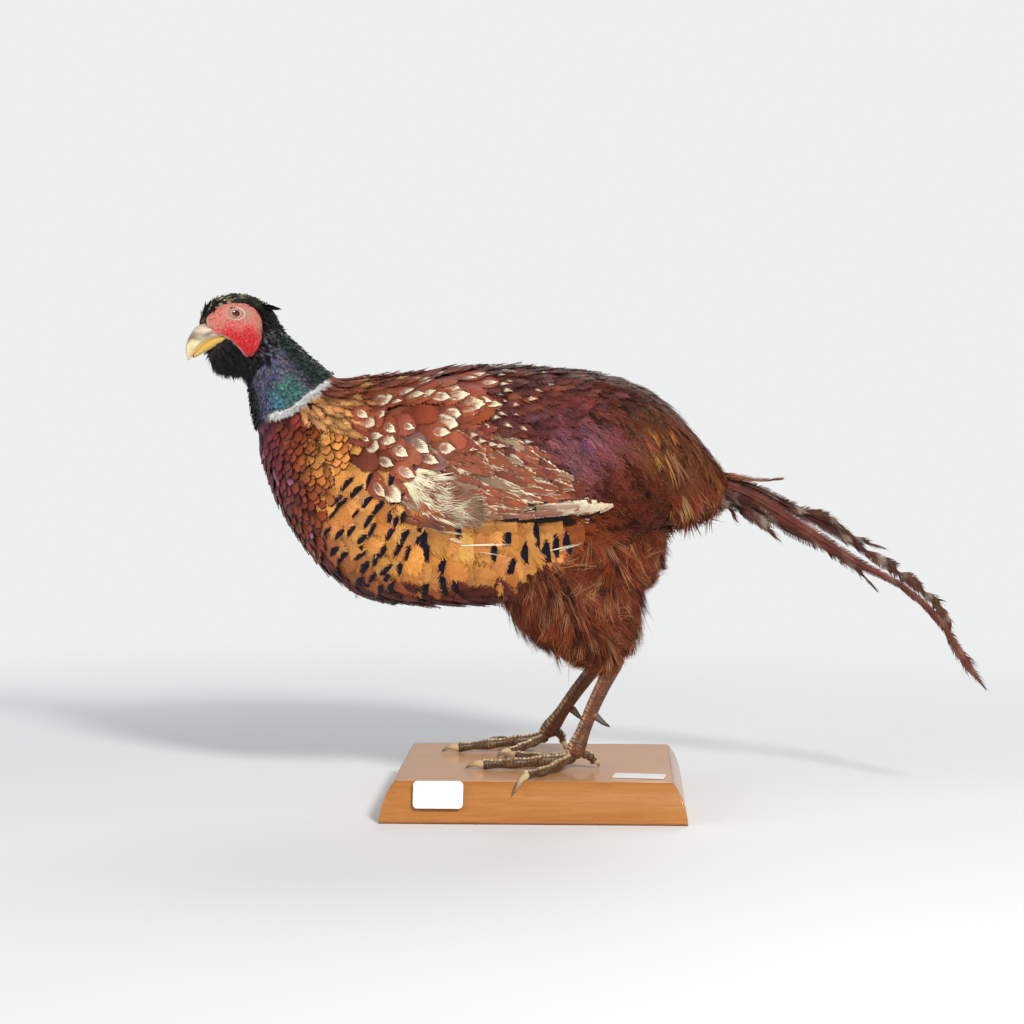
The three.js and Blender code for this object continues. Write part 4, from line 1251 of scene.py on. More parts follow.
def ruffles():
    rng = np.random.default_rng(23)
    rows = [(*where, colour) for *where, count, colour in RUFFLES for _ in range(count)]
    t, high, down, length, width, colour = (np.array(column, float) for column in zip(*rows))
    count = len(rows)
    t, high = t + rng.normal(0, 0.06, count), high + rng.normal(0, 1.5, count)
    down = down + rng.normal(0, 9, count)
    lay_on_body("ruffle_coat", "body_plumage", "ring", COARSE, t, on_side("l", high), down, (length, width),
                tint=varied(colour, rng, 0.08), mark=colour * 0.8, rng=rng, lift=(3.0, 5.5), ragged=0.15)


# ---------------------------------------------------------------- fluff of thighs and vent
def drift(points, size, seed):
    """A smooth random field about as coarse as size (mm), mostly between -1 and 1."""
    rng = np.random.default_rng(seed)
    ways = unit(rng.normal(0, 1, (7, 3))) * 2 * math.pi / (size * MM)
    return np.cos(points @ ways.T + rng.uniform(0, 2 * math.pi, 7)).sum(-1) / 2.6


def scatter(nodes, spacing, rng, keep=None):
    """Roots spread evenly at random over the skin of some flesh nodes, at most one to a cell."""
    owners = [FLESH.index(name) for name in nodes]
    faces = SKIN_FACES[np.isin(SKIN_OWNER[SKIN_FACES[:, 0]], owners)]
    per_face = max(1, math.ceil(3 * (VOXEL / (spacing * MM)) ** 2))
    corners = SKIN_POINTS[np.repeat(faces, per_face, axis=0)]
    a, b = rng.random((2, len(corners), 1))
    near, far = (corners[:, i] * (1 - a) + corners[:, j] * a for i, j in ((0, 1), (3, 2)))
    points = near * (1 - b) + far * b
    if keep is not None:
        points = points[keep(points)]
    points = points[rng.permutation(len(points))]
    cells = np.floor(points / (spacing * MM)).astype(int)
    _, first = np.unique(cells, axis=0, return_index=True)
    return points[np.sort(first)]


def fluff_colour(points, rng):
    tint = layered(
        FLUFF,
        (FLUFF_DARK, np.clip(0.8 * drift(points, 24, 1) + 0.3 * drift(points, 9, 4) + 0.1, 0, 0.9)),
        (RUFOUS, np.clip(0.6 * drift(points, 30, 2), 0, 0.5)),
        (FLUFF_PALE, 0.8 * some(rng, len(points), 0.16)),
    )
    return varied(tint, rng, 0.16), mixed(tint, FLUFF_PALE, 0.7)


def swirled(ways, turn):
    """Ways turned by angles, in radians, as seen from the bird's side."""
    x, y, z = ways.T
    return np.stack([x * np.cos(turn) + z * np.sin(turn), y, z * np.cos(turn) - x * np.sin(turn)], -1)


TUFT_WIDTH = 9.0  # mm


def fluff(name, nodes, spacing, length, heading, seed, keep=None, template=TUFT, lift=5.5, swirl=0.7,
          pale=0.0):
    """Tufts all over some flesh nodes. Way, length and lift drift from place to place, which clumps them."""
    rng = np.random.default_rng(seed)
    roots = scatter(nodes, spacing, rng, keep)
    tint, mark = fluff_colour(roots, rng)
    ways = swirled(heading(roots) + 0.2 * rng.normal(0, 1, roots.shape), swirl * drift(roots, 40, 5))
    around = np.arctan2(roots[:, 1] - roots[:, 1].mean(), roots[:, 0] - roots[:, 0].mean())
    clump = drift(roots, 15, 6)
    long = length(roots) * rng.uniform(0.8, 1.15, len(roots)) * (1 + 0.18 * clump)
    lay(name, roots, unit(ways), (long, TUFT_WIDTH), template, "fluff", "fluff_plumage",
        tint=mixed(tint, FLUFF_PALE * 1.3, pale), mark=mark, unwrap=np.stack([around, roots[:, 2]], -1),
        rng=rng, lift=(0.6, lift * (1 + 0.4 * clump)[:, None]), wild=0.35, ragged=0.2, loft=1.6)


RUMP_EDGE = {"from": 0.055, "below": 0.222}  # metres: the rump's shaggy lower edge


def thigh_way(points):
    back = 0.25 + 0.5 * smooth(30 * MM, 80 * MM, points[:, 0])
    return np.stack([back, 0 * back, -np.ones(len(points))], -1)


def thigh_length(points):
    return np.interp(points[:, 2] / MM, [92, 110, 150, 190], [9, 16, 19, 20])


def hair_length(points):
    return thigh_length(points) * 1.25


def on_rump_edge(points):
    return (points[:, 0] > RUMP_EDGE["from"]) & (points[:, 2] < RUMP_EDGE["below"])


def same(value):
    """A function that gives all points the same value."""
    return lambda points: np.array(value)


def fluff_coat():
    for tag in SIDES:
        fluff(f"thigh_coat_{tag}", [f"thigh_{tag}"], 3.4, thigh_length, thigh_way, 31)
        fluff(f"hair_coat_{tag}", [f"thigh_{tag}"], 11.0, hair_length, thigh_way, 32, template=HAIR, lift=8.0,
              swirl=1.2, pale=0.55)
    fluff("vent_coat", ["vent"], 3.5, same(17.0), same((0.75, 0.0, -0.66)), 33)
    fluff("fringe_coat", ["rump"], 3.6, same(15.0), same((0.45, 0.0, -0.9)), 34, keep=on_rump_edge, lift=7.0,
          template=COARSE, swirl=0.3)


# ---------------------------------------------------------------- head
CROWN_OLIVE = linear("#2b2a1e")
CROWN_BUFF = linear("#c0aa86")
CROWN_GREEN = linear("#1f4a39")
EAR_BLACK = linear("#1b211c")
FRINGE_DARK = linear("#1a1412")
FRINGE_TAN = linear("#8a6048")
HEAD_AT = np.array([-205.3, -4.0, 0.0]) * MM
HEAD_TURN = math.radians(35)
HEAD_AXES = np.array([
    [math.cos(HEAD_TURN), -math.sin(HEAD_TURN), 0.0],
    [math.sin(HEAD_TURN), math.cos(HEAD_TURN), 0.0],
    [0.0, 0.0, 1.0],
])
FACE = np.array([  # corners of the bare face from its side: forward of the head's centre, and height, mm
    (31.2, 335.5), (28, 342), (20, 347.7), (10, 348.8), (0, 347.3), (-5.8, 340), (-6.3, 330), (-3.6, 317.5),
    (2, 310.3), (10.6, 317.5), (20, 325.3), (27, 327.6),
])
EYE = {"forward": 13.0, "out": 9.3, "height": 341.5, "radius": 5.2}  # mm
OPENING = (2.75, 2.2)  # half sizes of the gap between the lids, mm
LID_RING = (6.9, 4.7)  # half sizes of the wrinkled ring round it


def to_head(points):
    """World metres to the head's own mm: x is minus the distance forward of its centre."""
    return (points - HEAD_AT) @ HEAD_AXES / MM


def from_head(points):
    return np.asarray(points, float) * MM @ HEAD_AXES.T + HEAD_AT


def inside_outline(points, corners):
    """Which 2-D points lie inside a closed outline."""
    x, y = points[:, 0, None], points[:, 1, None]
    x0, y0 = corners[:, 0], corners[:, 1]
    x1, y1 = np.roll(x0, -1), np.roll(y0, -1)
    crossing = ((y0 > y) != (y1 > y)) & (x < (x1 - x0) * (y - y0) / np.where(y1 == y0, 1e-9, y1 - y0) + x0)
    return crossing.sum(1) % 2 == 1


def bare(points):
    """Which points on the head's skin are on the bare face."""
    local = to_head(points)
    return inside_outline(np.stack([-local[:, 0], local[:, 2]], -1), FACE) & (np.abs(local[:, 1]) > 6)


def head_way(points):
    """The lie of the head's feathers: back from the bill over the crown, down and back under it."""
    local = to_head(points)
    low = smooth(328, 312, local[:, 2])
    front = smooth(-14, -30, local[:, 0])
    way = np.stack([1 - 0.55 * low, 0 * low, 0.6 * front * (1 - low) - 1.0 * low - 0.15], -1)
    return unit(way @ HEAD_AXES.T)


def head_colour(points, rng):
    local = to_head(points)
    back, side, height = local[:, 0], np.abs(local[:, 1]), local[:, 2]
    crown = smooth(343, 348, height)
    brow = hill(side, 8, 6) * smooth(344, 348, height) * smooth(-32, -24, back) * smooth(0, -8, back)
    forehead = smooth(-16, -22, back) * smooth(330, 336, height)
    tint = layered(
        BLACK,
        (CROWN_OLIVE, 0.8 * crown * smooth(-26, -14, back)),
        (CROWN_BUFF, 0.85 * some(rng, len(points), 0.45 * brow + 0.3 * forehead + 0.05 * crown)),
        (CROWN_GREEN, 0.7 * some(rng, len(points), 0.2 * crown)),
        (NAPE_GREEN, 0.6 * smooth(8, 20, back)),
    )
    return varied(tint, rng, 0.25), tint * 0.5


def feathered(points):
    """Which points on the head's skin carry feathers."""
    local = to_head(points)
    on_bill = (local[:, 0] < -25) & (local[:, 2] < 334) | (local[:, 0] < -31)
    return ~bare(points) & ~on_bill


def head_coat():
    rng = np.random.default_rng(41)
    roots = scatter(["head"], 1.7, rng, feathered)
    local = to_head(roots)
    tint, mark = head_colour(roots, rng)
    low = local[:, 2] < 314
    front = (local[:, 0] < -19) & ~low
    beard = 3.5 + 6.0 * smooth(0.1, 0.5, drift(roots[low], 8, 8))
    for name, part, size, lift, template in (
        ("crown_coat", ~front & ~low, (7.5, 2.0), (0.2, 1.6), SMALL),
        ("forehead_coat", front, (6.0, 2.6), (0.4, 2.6), SMALL),
        ("throat_coat", low, (beard, 3.6), (0.3, 3.0), COARSE),
    ):
        around = np.arctan2(local[part, 1], local[part, 2] - 325)
        lay(name, roots[part], head_way(roots[part]), size, template, "dark", "dark_plumage", tint=tint[part],
            mark=mark[part], unwrap=np.stack([around, local[part, 0]], -1), rng=rng, lift=lift, ragged=0.3,
            camber=0.1, wild=0.5, loft=0.5)


def ribbons(name, starts, ends, width, sag, tint, rng, replaces=()):
    """Free tapering dark strands between two sets of points, each bowed a little at random; mm."""
    shares = np.linspace(0, 1, 6)
    along = ends - starts
    side = unit(np.cross(along, UP + 0.3 * rng.normal(0, 1, along.shape)))
    bow = np.cross(side, unit(along)) * (sag * MM) * rng.normal(0, 1, (len(starts), 1))
    arch = bow[:, None] * np.sin(math.pi * shares)[:, None]
    middle = starts[:, None] + along[:, None] * shares[:, None] + arch
    half = width * MM / 2 * np.sqrt(1 - 0.97 * shares)
    rims = [middle + side[:, None] * half[:, None] * edge for edge in (-1, 1)]
    points = np.stack(rims, 2).reshape(-1, 3)
    faces = grid_faces(6, 2)[None] + (np.arange(len(starts)) * 12)[:, None, None]
    cells, patch = bake_cells(starts[:, [0, 2]])
    lie = np.stack([np.tile([0.0, 1.0], 6), np.repeat(shares, 2)], -1)
    bake = (cells[:, None] + (lie - 0.5) * patch).reshape(-1, 2)
    tint = np.repeat(tint, 12, axis=0)
    build(name, points, faces.reshape(-1, 4), PLUMAGE["dark"], replaces=replaces,
          values={"chance": tint[:, 0]}, uvs={"lie": np.tile(lie, (len(starts), 1)), "OFBake": bake},
          colours={"tint": tint, "mark": tint * 0.6})


EAR_TUFT = {"from": (11, 9.0, 346.5), "to": (24.5, 9.5, 344.8), "strands": 60, "spread": 1.5, "width": 1.8}


def ear_tufts():
    for tag, side in SIDES.items():
        rng = np.random.default_rng(43)
        count = EAR_TUFT["strands"]
        root, tip = (np.array(EAR_TUFT[key]) * [1, side, 1] for key in ("from", "to"))
        reach = rng.uniform(0.6, 1.0, (count, 1))
        off = rng.normal(0, EAR_TUFT["spread"], (count, 3)) * [1, 0.7, 0.7]
        starts = from_head(root + off)
        ends = from_head(root + (tip - root) * reach + off * 0.35)
        tint = varied(np.tile(EAR_BLACK, (count, 1)), rng, 0.3)
        ribbons(f"ear_coat_{tag}", starts, ends, EAR_TUFT["width"], 0.4, tint, rng, (f"ear_tuft_{tag}",))


FACE_FRINGE = {"strands": 170, "inside": 1.7, "long": (2.4, 4.6), "width": 1.0}  # mm
SIGHT_FROM = 40.0  # mm from the head's mid plane, from where its side is looked at


def side_hits(tag, flat):
    """Where lines in from the head's side meet its CAD solids, at (forward, height) in mm: world points,
    with nan for a miss, then where the lines start and their way."""
    surface = tree_of(["head", f"wattle_{tag}", f"eye_{tag}"])
    way = Vector(HEAD_AXES @ [0, -SIDES[tag], 0])
    out = np.full(len(flat), SIDES[tag] * SIGHT_FROM)
    starts = from_head(np.column_stack([-flat[:, 0], out, flat[:, 1]]))
    hits = [surface.ray_cast(Vector(start), way)[0] for start in starts]
    return np.array([(math.nan,) * 3 if hit is None else tuple(hit) for hit in hits]), starts, np.array(way)


def face_fringe(tag):
    """Short dark feathers that lap over the rear rim of the bare face."""
    rng = np.random.default_rng(44)
    count = FACE_FRINGE["strands"]
    rim = curve_points(FACE, 400, closed=True)
    rim = rim[rim[:, 0] < 4]
    rim = rim[rng.choice(len(rim), count)]
    inward = unit(np.array([EYE["forward"] - 4, EYE["height"] - 8]) - rim)
    start = rim + inward * FACE_FRINGE["inside"] * rng.uniform(-0.3, 1.0, (count, 1))
    way = unit(np.array([-1.0, -0.35]) + 0.3 * rng.normal(0, 1, (count, 2)))
    end = start + way * rng.uniform(*FACE_FRINGE["long"], (count, 1))
    ends = []
    for flat, proud in ((start, 0.7), (end, 1.0)):
        hits, outside, inwards = side_hits(tag, flat)
        ends.append(np.where(np.isnan(hits), outside, hits) - inwards * proud * MM)
    tint = mixed(FRINGE_DARK, FRINGE_TAN, some(rng, count, 0.35))
    ribbons(f"fringe_face_coat_{tag}", *ends, FACE_FRINGE["width"], 0.15, varied(tint, rng, 0.2), rng)


# ---------------------------------------------------------------- bare face, lids and eyes
FACE_PINK = linear("#bd766a")
FACE_RED = linear("#cf1a22")
FACE_RIM = linear("#d8a598")
FACE_GREY = linear("#907f72")
FACE_RIM_SHADE = linear("#5a3330")
LID_GREY = linear("#ad8f7f")
IRIS = linear("#8e4018")
IRIS_DARK = linear("#3a1608")
EYE_RIM = linear("#241009")
LID_PALE = linear("#d9cbb6")
LID_SHADE = linear("#3e2a22")
PAPILLA = 1.2  # mm between papillae of the bare face
FACE_RINGS, FACE_SPOKES = 78, 280


def outline_reach(spoke):
    """How far from the eye's centre each spoke meets the face's outline."""
    outline = curve_points(FACE, 240, closed=True) - [EYE["forward"], EYE["height"]]
    angle = np.mod(np.arctan2(outline[:, 1], outline[:, 0]), 2 * math.pi)
    order = np.argsort(angle)
    reach = np.linalg.norm(outline, axis=1)
    return np.interp(spoke, angle[order], reach[order], period=2 * math.pi)


def face_out(tag, flat, shape):
    """How far out the face stands at points seen from the side, on rings round the eye, evened; mm."""
    out = (to_head(side_hits(tag, flat)[0])[:, 1] * SIDES[tag]).reshape(shape)
    for ring in range(1, len(out)):
        lost = np.isnan(out[ring])
        out[ring, lost] = out[ring - 1, lost]
    for _ in range(6):
        ringed = (np.roll(out, 1, 1) + np.roll(out, -1, 1)) / 2
        out = 0.5 * out + 0.5 * ringed
        out[1:-1] = 0.5 * out[1:-1] + 0.25 * (out[:-2] + out[2:])
    return out


def papillae(flat, rng):
    """How high each point stands on its papilla, 0 to 1, and a random number for the papilla."""
    seeds = flat[rng.permutation(len(flat))]
    _, first = np.unique(np.floor(seeds / PAPILLA).astype(int), axis=0, return_index=True)
    seeds = seeds[first] + rng.normal(0, 0.13 * PAPILLA, (len(first), 2))
    nearest, glow = np.full(len(flat), 9.0), np.zeros(len(flat))
    for seed, own in zip(seeds, rng.normal(0, 1, len(seeds))):
        apart = np.hypot(*(flat - seed).T)
        glow[apart < nearest] = own
        nearest = np.minimum(nearest, apart)
    return np.clip(1 - (nearest / (0.65 * PAPILLA)) ** 2, 0, 1), glow


def face_colour(forward, height, lid, spoke, share, grain, glow):
    """Pink above and red below, painted shade between the papillae, greyer round the lids."""
    patchy = drift(np.stack([forward, height, 0 * height], -1) * MM, 9, 7)
    away = smooth(1.0, 1.35, lid)
    low = smooth(337, 324, height)
    red = smooth(338, 323, height + 2.2 * patchy) * smooth(-7, -1, forward) * smooth(27, 19, forward)
    return layered(
        mixed(FACE_PINK, FACE_RED, red + 0.1),
        # Painted shade between the papillae.
        (FACE_RED * 0.35, 0.85 * (1 - grain) * away * (0.3 + 0.7 * low)),
        # Painted highlights: paler tops on some papillae.
        (FACE_RIM, 0.2 * np.clip(glow - 0.6, 0, 1) * grain * away),
        (FACE_RED * 0.6, 0.6 * np.clip(-glow - 0.5, 0, 1) * away),
        (FACE_GREY, 0.8 * hill(forward, 4.5, 3.2) * hill(height, 342, 4.5) * smooth(1.0, 1.2, lid)),
        (FACE_GREY * 0.75, 0.5 * hill(forward, -4.5, 3) * hill(height, 333, 9)),
        (FACE_RIM, 0.7 * smooth(0.92, 0.985, share) * smooth(346, 330, height) * smooth(-3, 5, forward)),
        # Painted shade: darker at the face's rear rim, where it goes in under the feathers.
        (FACE_RIM_SHADE, 0.8 * smooth(0.84, 1.0, share + 0.05 * patchy) * smooth(9, -1, forward)),
        (LID_GREY, 0.9 * smooth(1.12, 0.95, lid)),
        (FACE_PINK * 0.9, (0.35 + 0.25 * patchy) * smooth(1.3, 1.0, lid)),
        (LID_PALE, 0.6 * hill(lid, 0.92, 0.08) * smooth(7, -5, forward - EYE["forward"])),
        # Painted shade in the lids' creases, deepest to the rear and below, and round the gap between the
        # lids.
        (LID_SHADE, (0.3 + 0.2 * np.cos(spoke - 3.6)) * hill(lid, 0.74, 0.07) + 0.7 * smooth(0.46, 0.4, lid)),
    )


def bare_face(tag, material):
    """The bare skin round an eye with its lids, as rings from the gap between them out to the face's rim."""
    rng = np.random.default_rng(51)
    spoke = np.linspace(0, 2 * math.pi, FACE_SPOKES, endpoint=False)
    rim = outline_reach(spoke) * (1 + 0.006 * np.sin(23 * spoke) + 0.005 * rng.normal(0, 1, FACE_SPOKES))
    gap = 1 / np.hypot(np.cos(spoke) / OPENING[0], np.sin(spoke) / OPENING[1])
    share = np.linspace(0, 1, FACE_RINGS)[:, None] ** 1.25
    reach = gap + (rim - gap) * share
    x, z = reach * np.cos(spoke), reach * np.sin(spoke)
    forward, height = EYE["forward"] + x, EYE["height"] + z
    flat = np.stack([forward, height], -1).reshape(-1, 2)
    out = face_out(tag, flat, reach.shape)

    lid = np.hypot(x / LID_RING[0], z / LID_RING[1])  # 1 on the rim of the lids
    ball = EYE["out"] + np.sqrt(np.maximum(EYE["radius"] ** 2 - x**2 - z**2, 0)) + 0.6
    over_ball = smooth(1.0, 0.55, lid)
    skin = np.maximum(out - 0.2, ball * over_ball + (out - 0.2) * (1 - over_ball))
    folds = 0.28 * hill(lid, 0.52, 0.1) - 0.2 * hill(lid, 0.72, 0.08) + 0.45 * hill(lid, 0.92, 0.12)
    folds = folds - 0.35 * hill(lid, 1.14, 0.1) + 0.1 * np.sin(9 * spoke + 3 * lid) * hill(lid, 0.8, 0.25)
    folds = folds * (0.75 + 0.45 * np.cos(spoke - 3.6 + 0.8 * np.sin(2 * spoke)))

    grain, glow = (part.reshape(reach.shape) for part in papillae(flat, rng))
    pimples = smooth(1.0, 1.35, lid) * grain * (0.2 + 0.45 * smooth(337, 324, height))
    total = skin + folds * (1 - smooth(1.2, 1.4, lid)) + pimples
    sunk = out - 0.9  # the rim goes in under the feathers
    out_at = np.where(share > 0.985, sunk, sunk + (total - sunk) * smooth(1.0, 0.93, share))

    points = from_head(np.stack([-forward, SIDES[tag] * out_at, height], -1).reshape(-1, 3))
    faces = grid_faces(FACE_RINGS, FACE_SPOKES, wrap=True)[:, :: -SIDES[tag]]
    build(f"bare_face_{tag}", points, faces, material, replaces=(f"wattle_{tag}",),
          uvs={"OFBake": (flat - [12, 330]) / 44 + 0.5},
          colours={"tint": face_colour(forward, height, lid, spoke, share, grain, glow)})


def face_material():
    g = Graph("face_skin", Specular_IOR_Level=0.3)
    fine = g.noise(1500.0, 3.0)
    lit = g.times(g.ramp(fine, 0.4, 0.65), 0.3)
    colour = g.mix(lit, g.attribute("tint"), (1.0, 0.75, 0.68), "SOFT_LIGHT")
    g.bump(fine, 0.00015, 0.6)
    return g.finish(colour, g.line(fine, 0.3, 0.38))


def eye_material():
    g = Graph("eye_shine", Coat_Weight=1.0, Coat_Roughness=0.03, Specular_IOR_Level=0.4)
    fine = g.noise(2600.0, 2.0)
    return g.finish(g.mix(g.times(fine, 0.5), g.attribute("tint"), (0.02, 0.004, 0.002)), 0.1)


def eye(tag, material):
    """A glass eye: a ball as rings from its outermost point, with the pupil and iris painted on."""
    rings, spokes, radius = 40, 48, EYE["radius"]
    down = np.linspace(0.02, math.pi, rings)[:, None]
    turn = np.linspace(0, 2 * math.pi, spokes, endpoint=False)
    wide, out = radius * np.sin(down), radius * np.cos(down) * SIDES[tag]
    points = np.stack([wide * np.cos(turn), out + 0 * turn, wide * np.sin(turn)], -1)
    away = np.where(down > math.pi / 2, radius, wide + 0 * turn)
    colour = layered(
        mixed(IRIS, IRIS_DARK, hill(away, 2.4, 0.5)),
        (BLACK * 0.4, smooth(1.45, 1.25, away)),
        (EYE_RIM, smooth(2.5, 2.9, away)),
    )
    centre = np.array([-EYE["forward"], SIDES[tag] * EYE["out"], EYE["height"]])
    faces = grid_faces(rings, spokes, wrap=True)[:, :: -SIDES[tag]]
    build(f"eyeball_{tag}", from_head(points.reshape(-1, 3) + centre), faces, material,
          colours={"tint": colour}, replaces=(f"eye_{tag}",))


# ---------------------------------------------------------------- bill
NOSTRIL = {"place": 1.85, "ridge": 0.74, "half": (0.6, 0.3), "proud": 1.2}  # proud in mm
# HORN's line colour is painted shade: in the nostril's slit and along the gape between the mandibles.
HORN = {"straw": linear("#c9b184"), "band": linear("#7f6e60"), "pale": linear("#dccd9c"),
        "yellow": linear("#d3a745"), "line": linear("#3f2812"), "cere": linear("#cdbba2")}


def horn_material(name, roughness=0.32):
    g = Graph(name, Specular_IOR_Level=0.5, Coat_Weight=0.25, Coat_Roughness=0.25)
    fine = g.noise(900.0, 4.0)
    worn = g.noise(260.0, 3.0)
    colour = g.mix(g.times(g.ramp(worn, 0.5, 0.75), 0.22), g.attribute("tint"), (0.35, 0.24, 0.13))
    g.bump(fine, 0.0001, 0.5)
    return g.finish(colour, g.line(fine, 0.2, roughness - 0.1))


def upper_bill(points, place, ridge, shade):
    """Swells the bill's points round the nostrils and gives their colours. The ridge is 1 along the top."""
    side = np.abs(points[..., 1])
    x = (place - NOSTRIL["place"]) / NOSTRIL["half"][0]
    z = (ridge - NOSTRIL["ridge"]) / NOSTRIL["half"][1]
    round_nostril = (x**2 + z**2) ** 2
    slit = np.exp(-((x + 0.15) ** 2) - ((z + 1.25) * 3.0) ** 2)
    slit = slit + 0.8 * np.exp(-(((x + 0.9) * 3) ** 2) - (z * 1.5) ** 2)
    swell = np.exp(-round_nostril * 0.7) * NOSTRIL["proud"]
    points[..., 1] += np.sign(points[..., 1]) * (swell - 0.5 * slit) * smooth(0.5, 2.5, side)
    across = place - 1.2 * (ridge - 0.57) + 0.15 * shade
    band = smooth(2.15, 2.5, across) * smooth(3.8, 3.35, across) * smooth(-0.05, 0.3, ridge)
    return layered(
        mixed(HORN["cere"], HORN["pale"], smooth(2.3, 3.4, place - 0.8 * ridge + 0.15 * shade)),
        (HORN["band"], (0.7 + 0.2 * shade) * band),
        (HORN["straw"], 0.6 * smooth(3.9, 4.5, place) * smooth(0.8, 0.2, ridge)),
        (HORN["cere"] * 1.1, 0.8 * np.exp(-round_nostril * 0.5)),
        # Painted shade in the nostril's slit.
        (HORN["line"], 0.75 * np.clip(slit, 0, 1)),
        (HORN["yellow"], 0.8 * smooth(0.05, -0.2, ridge) * smooth(5.4, 4.6, place)),
        # Painted shade: a dark line along the upper bill's cutting edge, over the gape.
        (HORN["line"], 0.6 * hill(ridge, 0.02, 0.09) * smooth(4.8, 4.0, place)),
    )


def lower_bill(points, place, ridge, shade):
    yellow = mixed(HORN["yellow"], HORN["straw"], np.clip(0.4 + 0.4 * shade, 0, 0.8))
    # Painted shade along the top, under the upper bill's edge.
    return mixed(yellow, HORN["line"], 0.75 * hill(ridge, 0.85, 0.22))


def bill_half(name, table, finished, node, material):
    """Half of the bill from its stations. finished may move its points and gives their colours."""
    rings, spokes = 56, 56
    last = len(table) - 1
    turn = np.linspace(0, 360, spokes, endpoint=False)
    place, angle = np.meshgrid(np.linspace(0, last, rings), turn, indexing="ij")
    points = section_point(table, place, angle) / MM
    colour = finished(points, place, np.sin(np.radians(angle)), drift(points * MM, 7, 9))
    build(name, from_head(points.reshape(-1, 3)), grid_faces(rings, spokes, wrap=True), material,
          colours={"tint": colour}, uvs={"OFBake": np.stack([place / last, angle / 360], -1) * 0.96 + 0.02},
          replaces=(node,))


def head():
    head_coat()
    ear_tufts()
    red_skin, glass = face_material(), eye_material()
    for tag in SIDES:
        bare_face(tag, red_skin)
        eye(tag, glass)
        face_fringe(tag)
    horn = horn_material("bill_horn")
    bill_half("bill_over", BILL_UPPER, upper_bill, "bill_upper", horn)
    bill_half("bill_under", BILL_LOWER, lower_bill, "bill_lower", horn)


# ---------------------------------------------------------------- the skin's own piece
def skin():
    """The skin under the feathers, in the colours of those nearest to it, darker as painted shade."""
    roots = np.vstack([r for r, _ in COAT_SAMPLES])
    tints = np.vstack([np.broadcast_to(c, r.shape) for r, c in COAT_SAMPLES])
    tree = KDTree(len(roots))
    for i, root in enumerate(roots.tolist()):
        tree.insert(root, i)
    tree.balance()
    nearest = [[k for _, k, _ in tree.find_n(p, 3)] for p in SKIN_POINTS.tolist()]
    # A fifth darker than the feathers: painted shade under them.
    colour = tints[nearest].mean(1) * 0.8
    on_face = bare(SKIN_POINTS) & (SKIN_OWNER == FLESH.index("head"))
    colour[on_face] = FACE_RED * 0.7
    g = Graph("skin", 0.85)
    fine = g.noise(700.0, 3.0)
    g.bump(fine, 0.0004, 0.5)
    material = g.finish(g.mix(g.times(fine, 0.5), g.attribute("tint"), (0.05, 0.02, 0.01)))
    t = (SKIN_POINTS[:, 0] - SKIN_POINTS[:, 0].min()) / np.ptp(SKIN_POINTS[:, 0])
    around = np.arctan2(SKIN_POINTS[:, 1] - BIRD[1], SKIN_POINTS[:, 2] - 0.24) / (2 * math.pi) + 0.5
    build("skin", SKIN_POINTS, SKIN_FACES, material, colours={"tint": colour},
          uvs={"OFBake": np.stack([around, t], -1) * 0.96 + 0.02}, replaces=FLESH)


# ---------------------------------------------------------------- legs and feet
FEET = {  # mm in the bird's frame, as in the CAD source; each toe runs middle, end, claw tip
    "l": {
        "ankle": (52.5, -31.5, 100), "knuckle": (26.5, -41, 39), "spur": ((40.5, -38, 64.5), (51, -37, 56.5)),
        "toes": {
            "middle": ((-6, -44, 32.6), (-36, -46, 31.2), (-48.5, -47, 29)),
            "outer": ((8, -70, 31.6), (-5, -91, 31.4), (-12.5, -103.5, 21.5)),
            "inner": ((2, -18, 32), (-14, -3, 31.2), (-24, 3.5, 28.6)),
            "hallux": ((36.5, -38, 36.5), (40, -36.5, 32.5), (43.5, -35.5, 28.6)),
        },
    },
    "r": {
        "ankle": (45.5, 31.5, 98), "knuckle": (6, 39.5, 41.5), "spur": ((24, 37.5, 58), (31.5, 36, 51)),
        "toes": {
            "middle": ((-29, 34, 34), (-58, 29.5, 31.4), (-70, 28, 28.8)),
            "inner": ((-11, 23, 33.4), (-21, 13, 31.2), (-29, 8, 28.6)),
            "outer": ((-14, 57, 33), (-30, 67, 31.2), (-40, 72.5, 28.8)),
            "hallux": ((15, 38, 40.5), (17, 37.5, 35), (18.5, 37, 28.8)),
        },
    },
}
SLIM = {"middle": 1.22, "outer": 1.06, "inner": 1.06, "hallux": 1.0}  # how thick each toe is, in shares
LEG_BROWN = linear("#7a4829")
TOE_BROWN = linear("#80603f")
LEG_GOLD = linear("#b98a4e")
LEG_DARK = linear("#2f1d12")
PLATE_PALE = linear("#ecd9b6")
CLAW_PALE = linear("#c6ac84")
CLAW_DARK = linear("#3a2a20")
SPUR_GREY = linear("#5d544c")
SCUTE = {"pitch": 2.8, "height": 0.34}  # mm: the broad plates down a shank's front and along a toe's top
GRAIN_PITCH = 1.7  # mm, the small scales behind


def tube(path, radius, steps, spokes, flatten=1.0, up=UP, relief=None):
    """A tube's points, in mm, on a grid of steps by spokes, and how far along and round it each one is.
    radius is a function of the share along, and relief one of distance and angle."""
    centre = curve_points(path, steps)
    along = unit(np.gradient(centre, axis=0))
    side = unit(np.cross(up, along))
    rise = np.cross(along, side)
    turn = np.linspace(0, 2 * math.pi, spokes, endpoint=False)
    length, turn = np.meshgrid(distances(centre), turn, indexing="ij")
    reach = radius(length / length[-1]) + (relief(length, turn) if relief else 0)
    points = (centre[:, None] + side[:, None] * (reach * np.cos(turn))[..., None]
              + rise[:, None] * (reach * flatten * np.sin(turn))[..., None])
    return points, length, turn


def ended(grid):
    """Values on a tube's grid as one list, then those of the two points that close its ends."""
    return np.vstack([grid.reshape(-1, grid.shape[-1]), grid[0].mean(0), grid[-1].mean(0)])


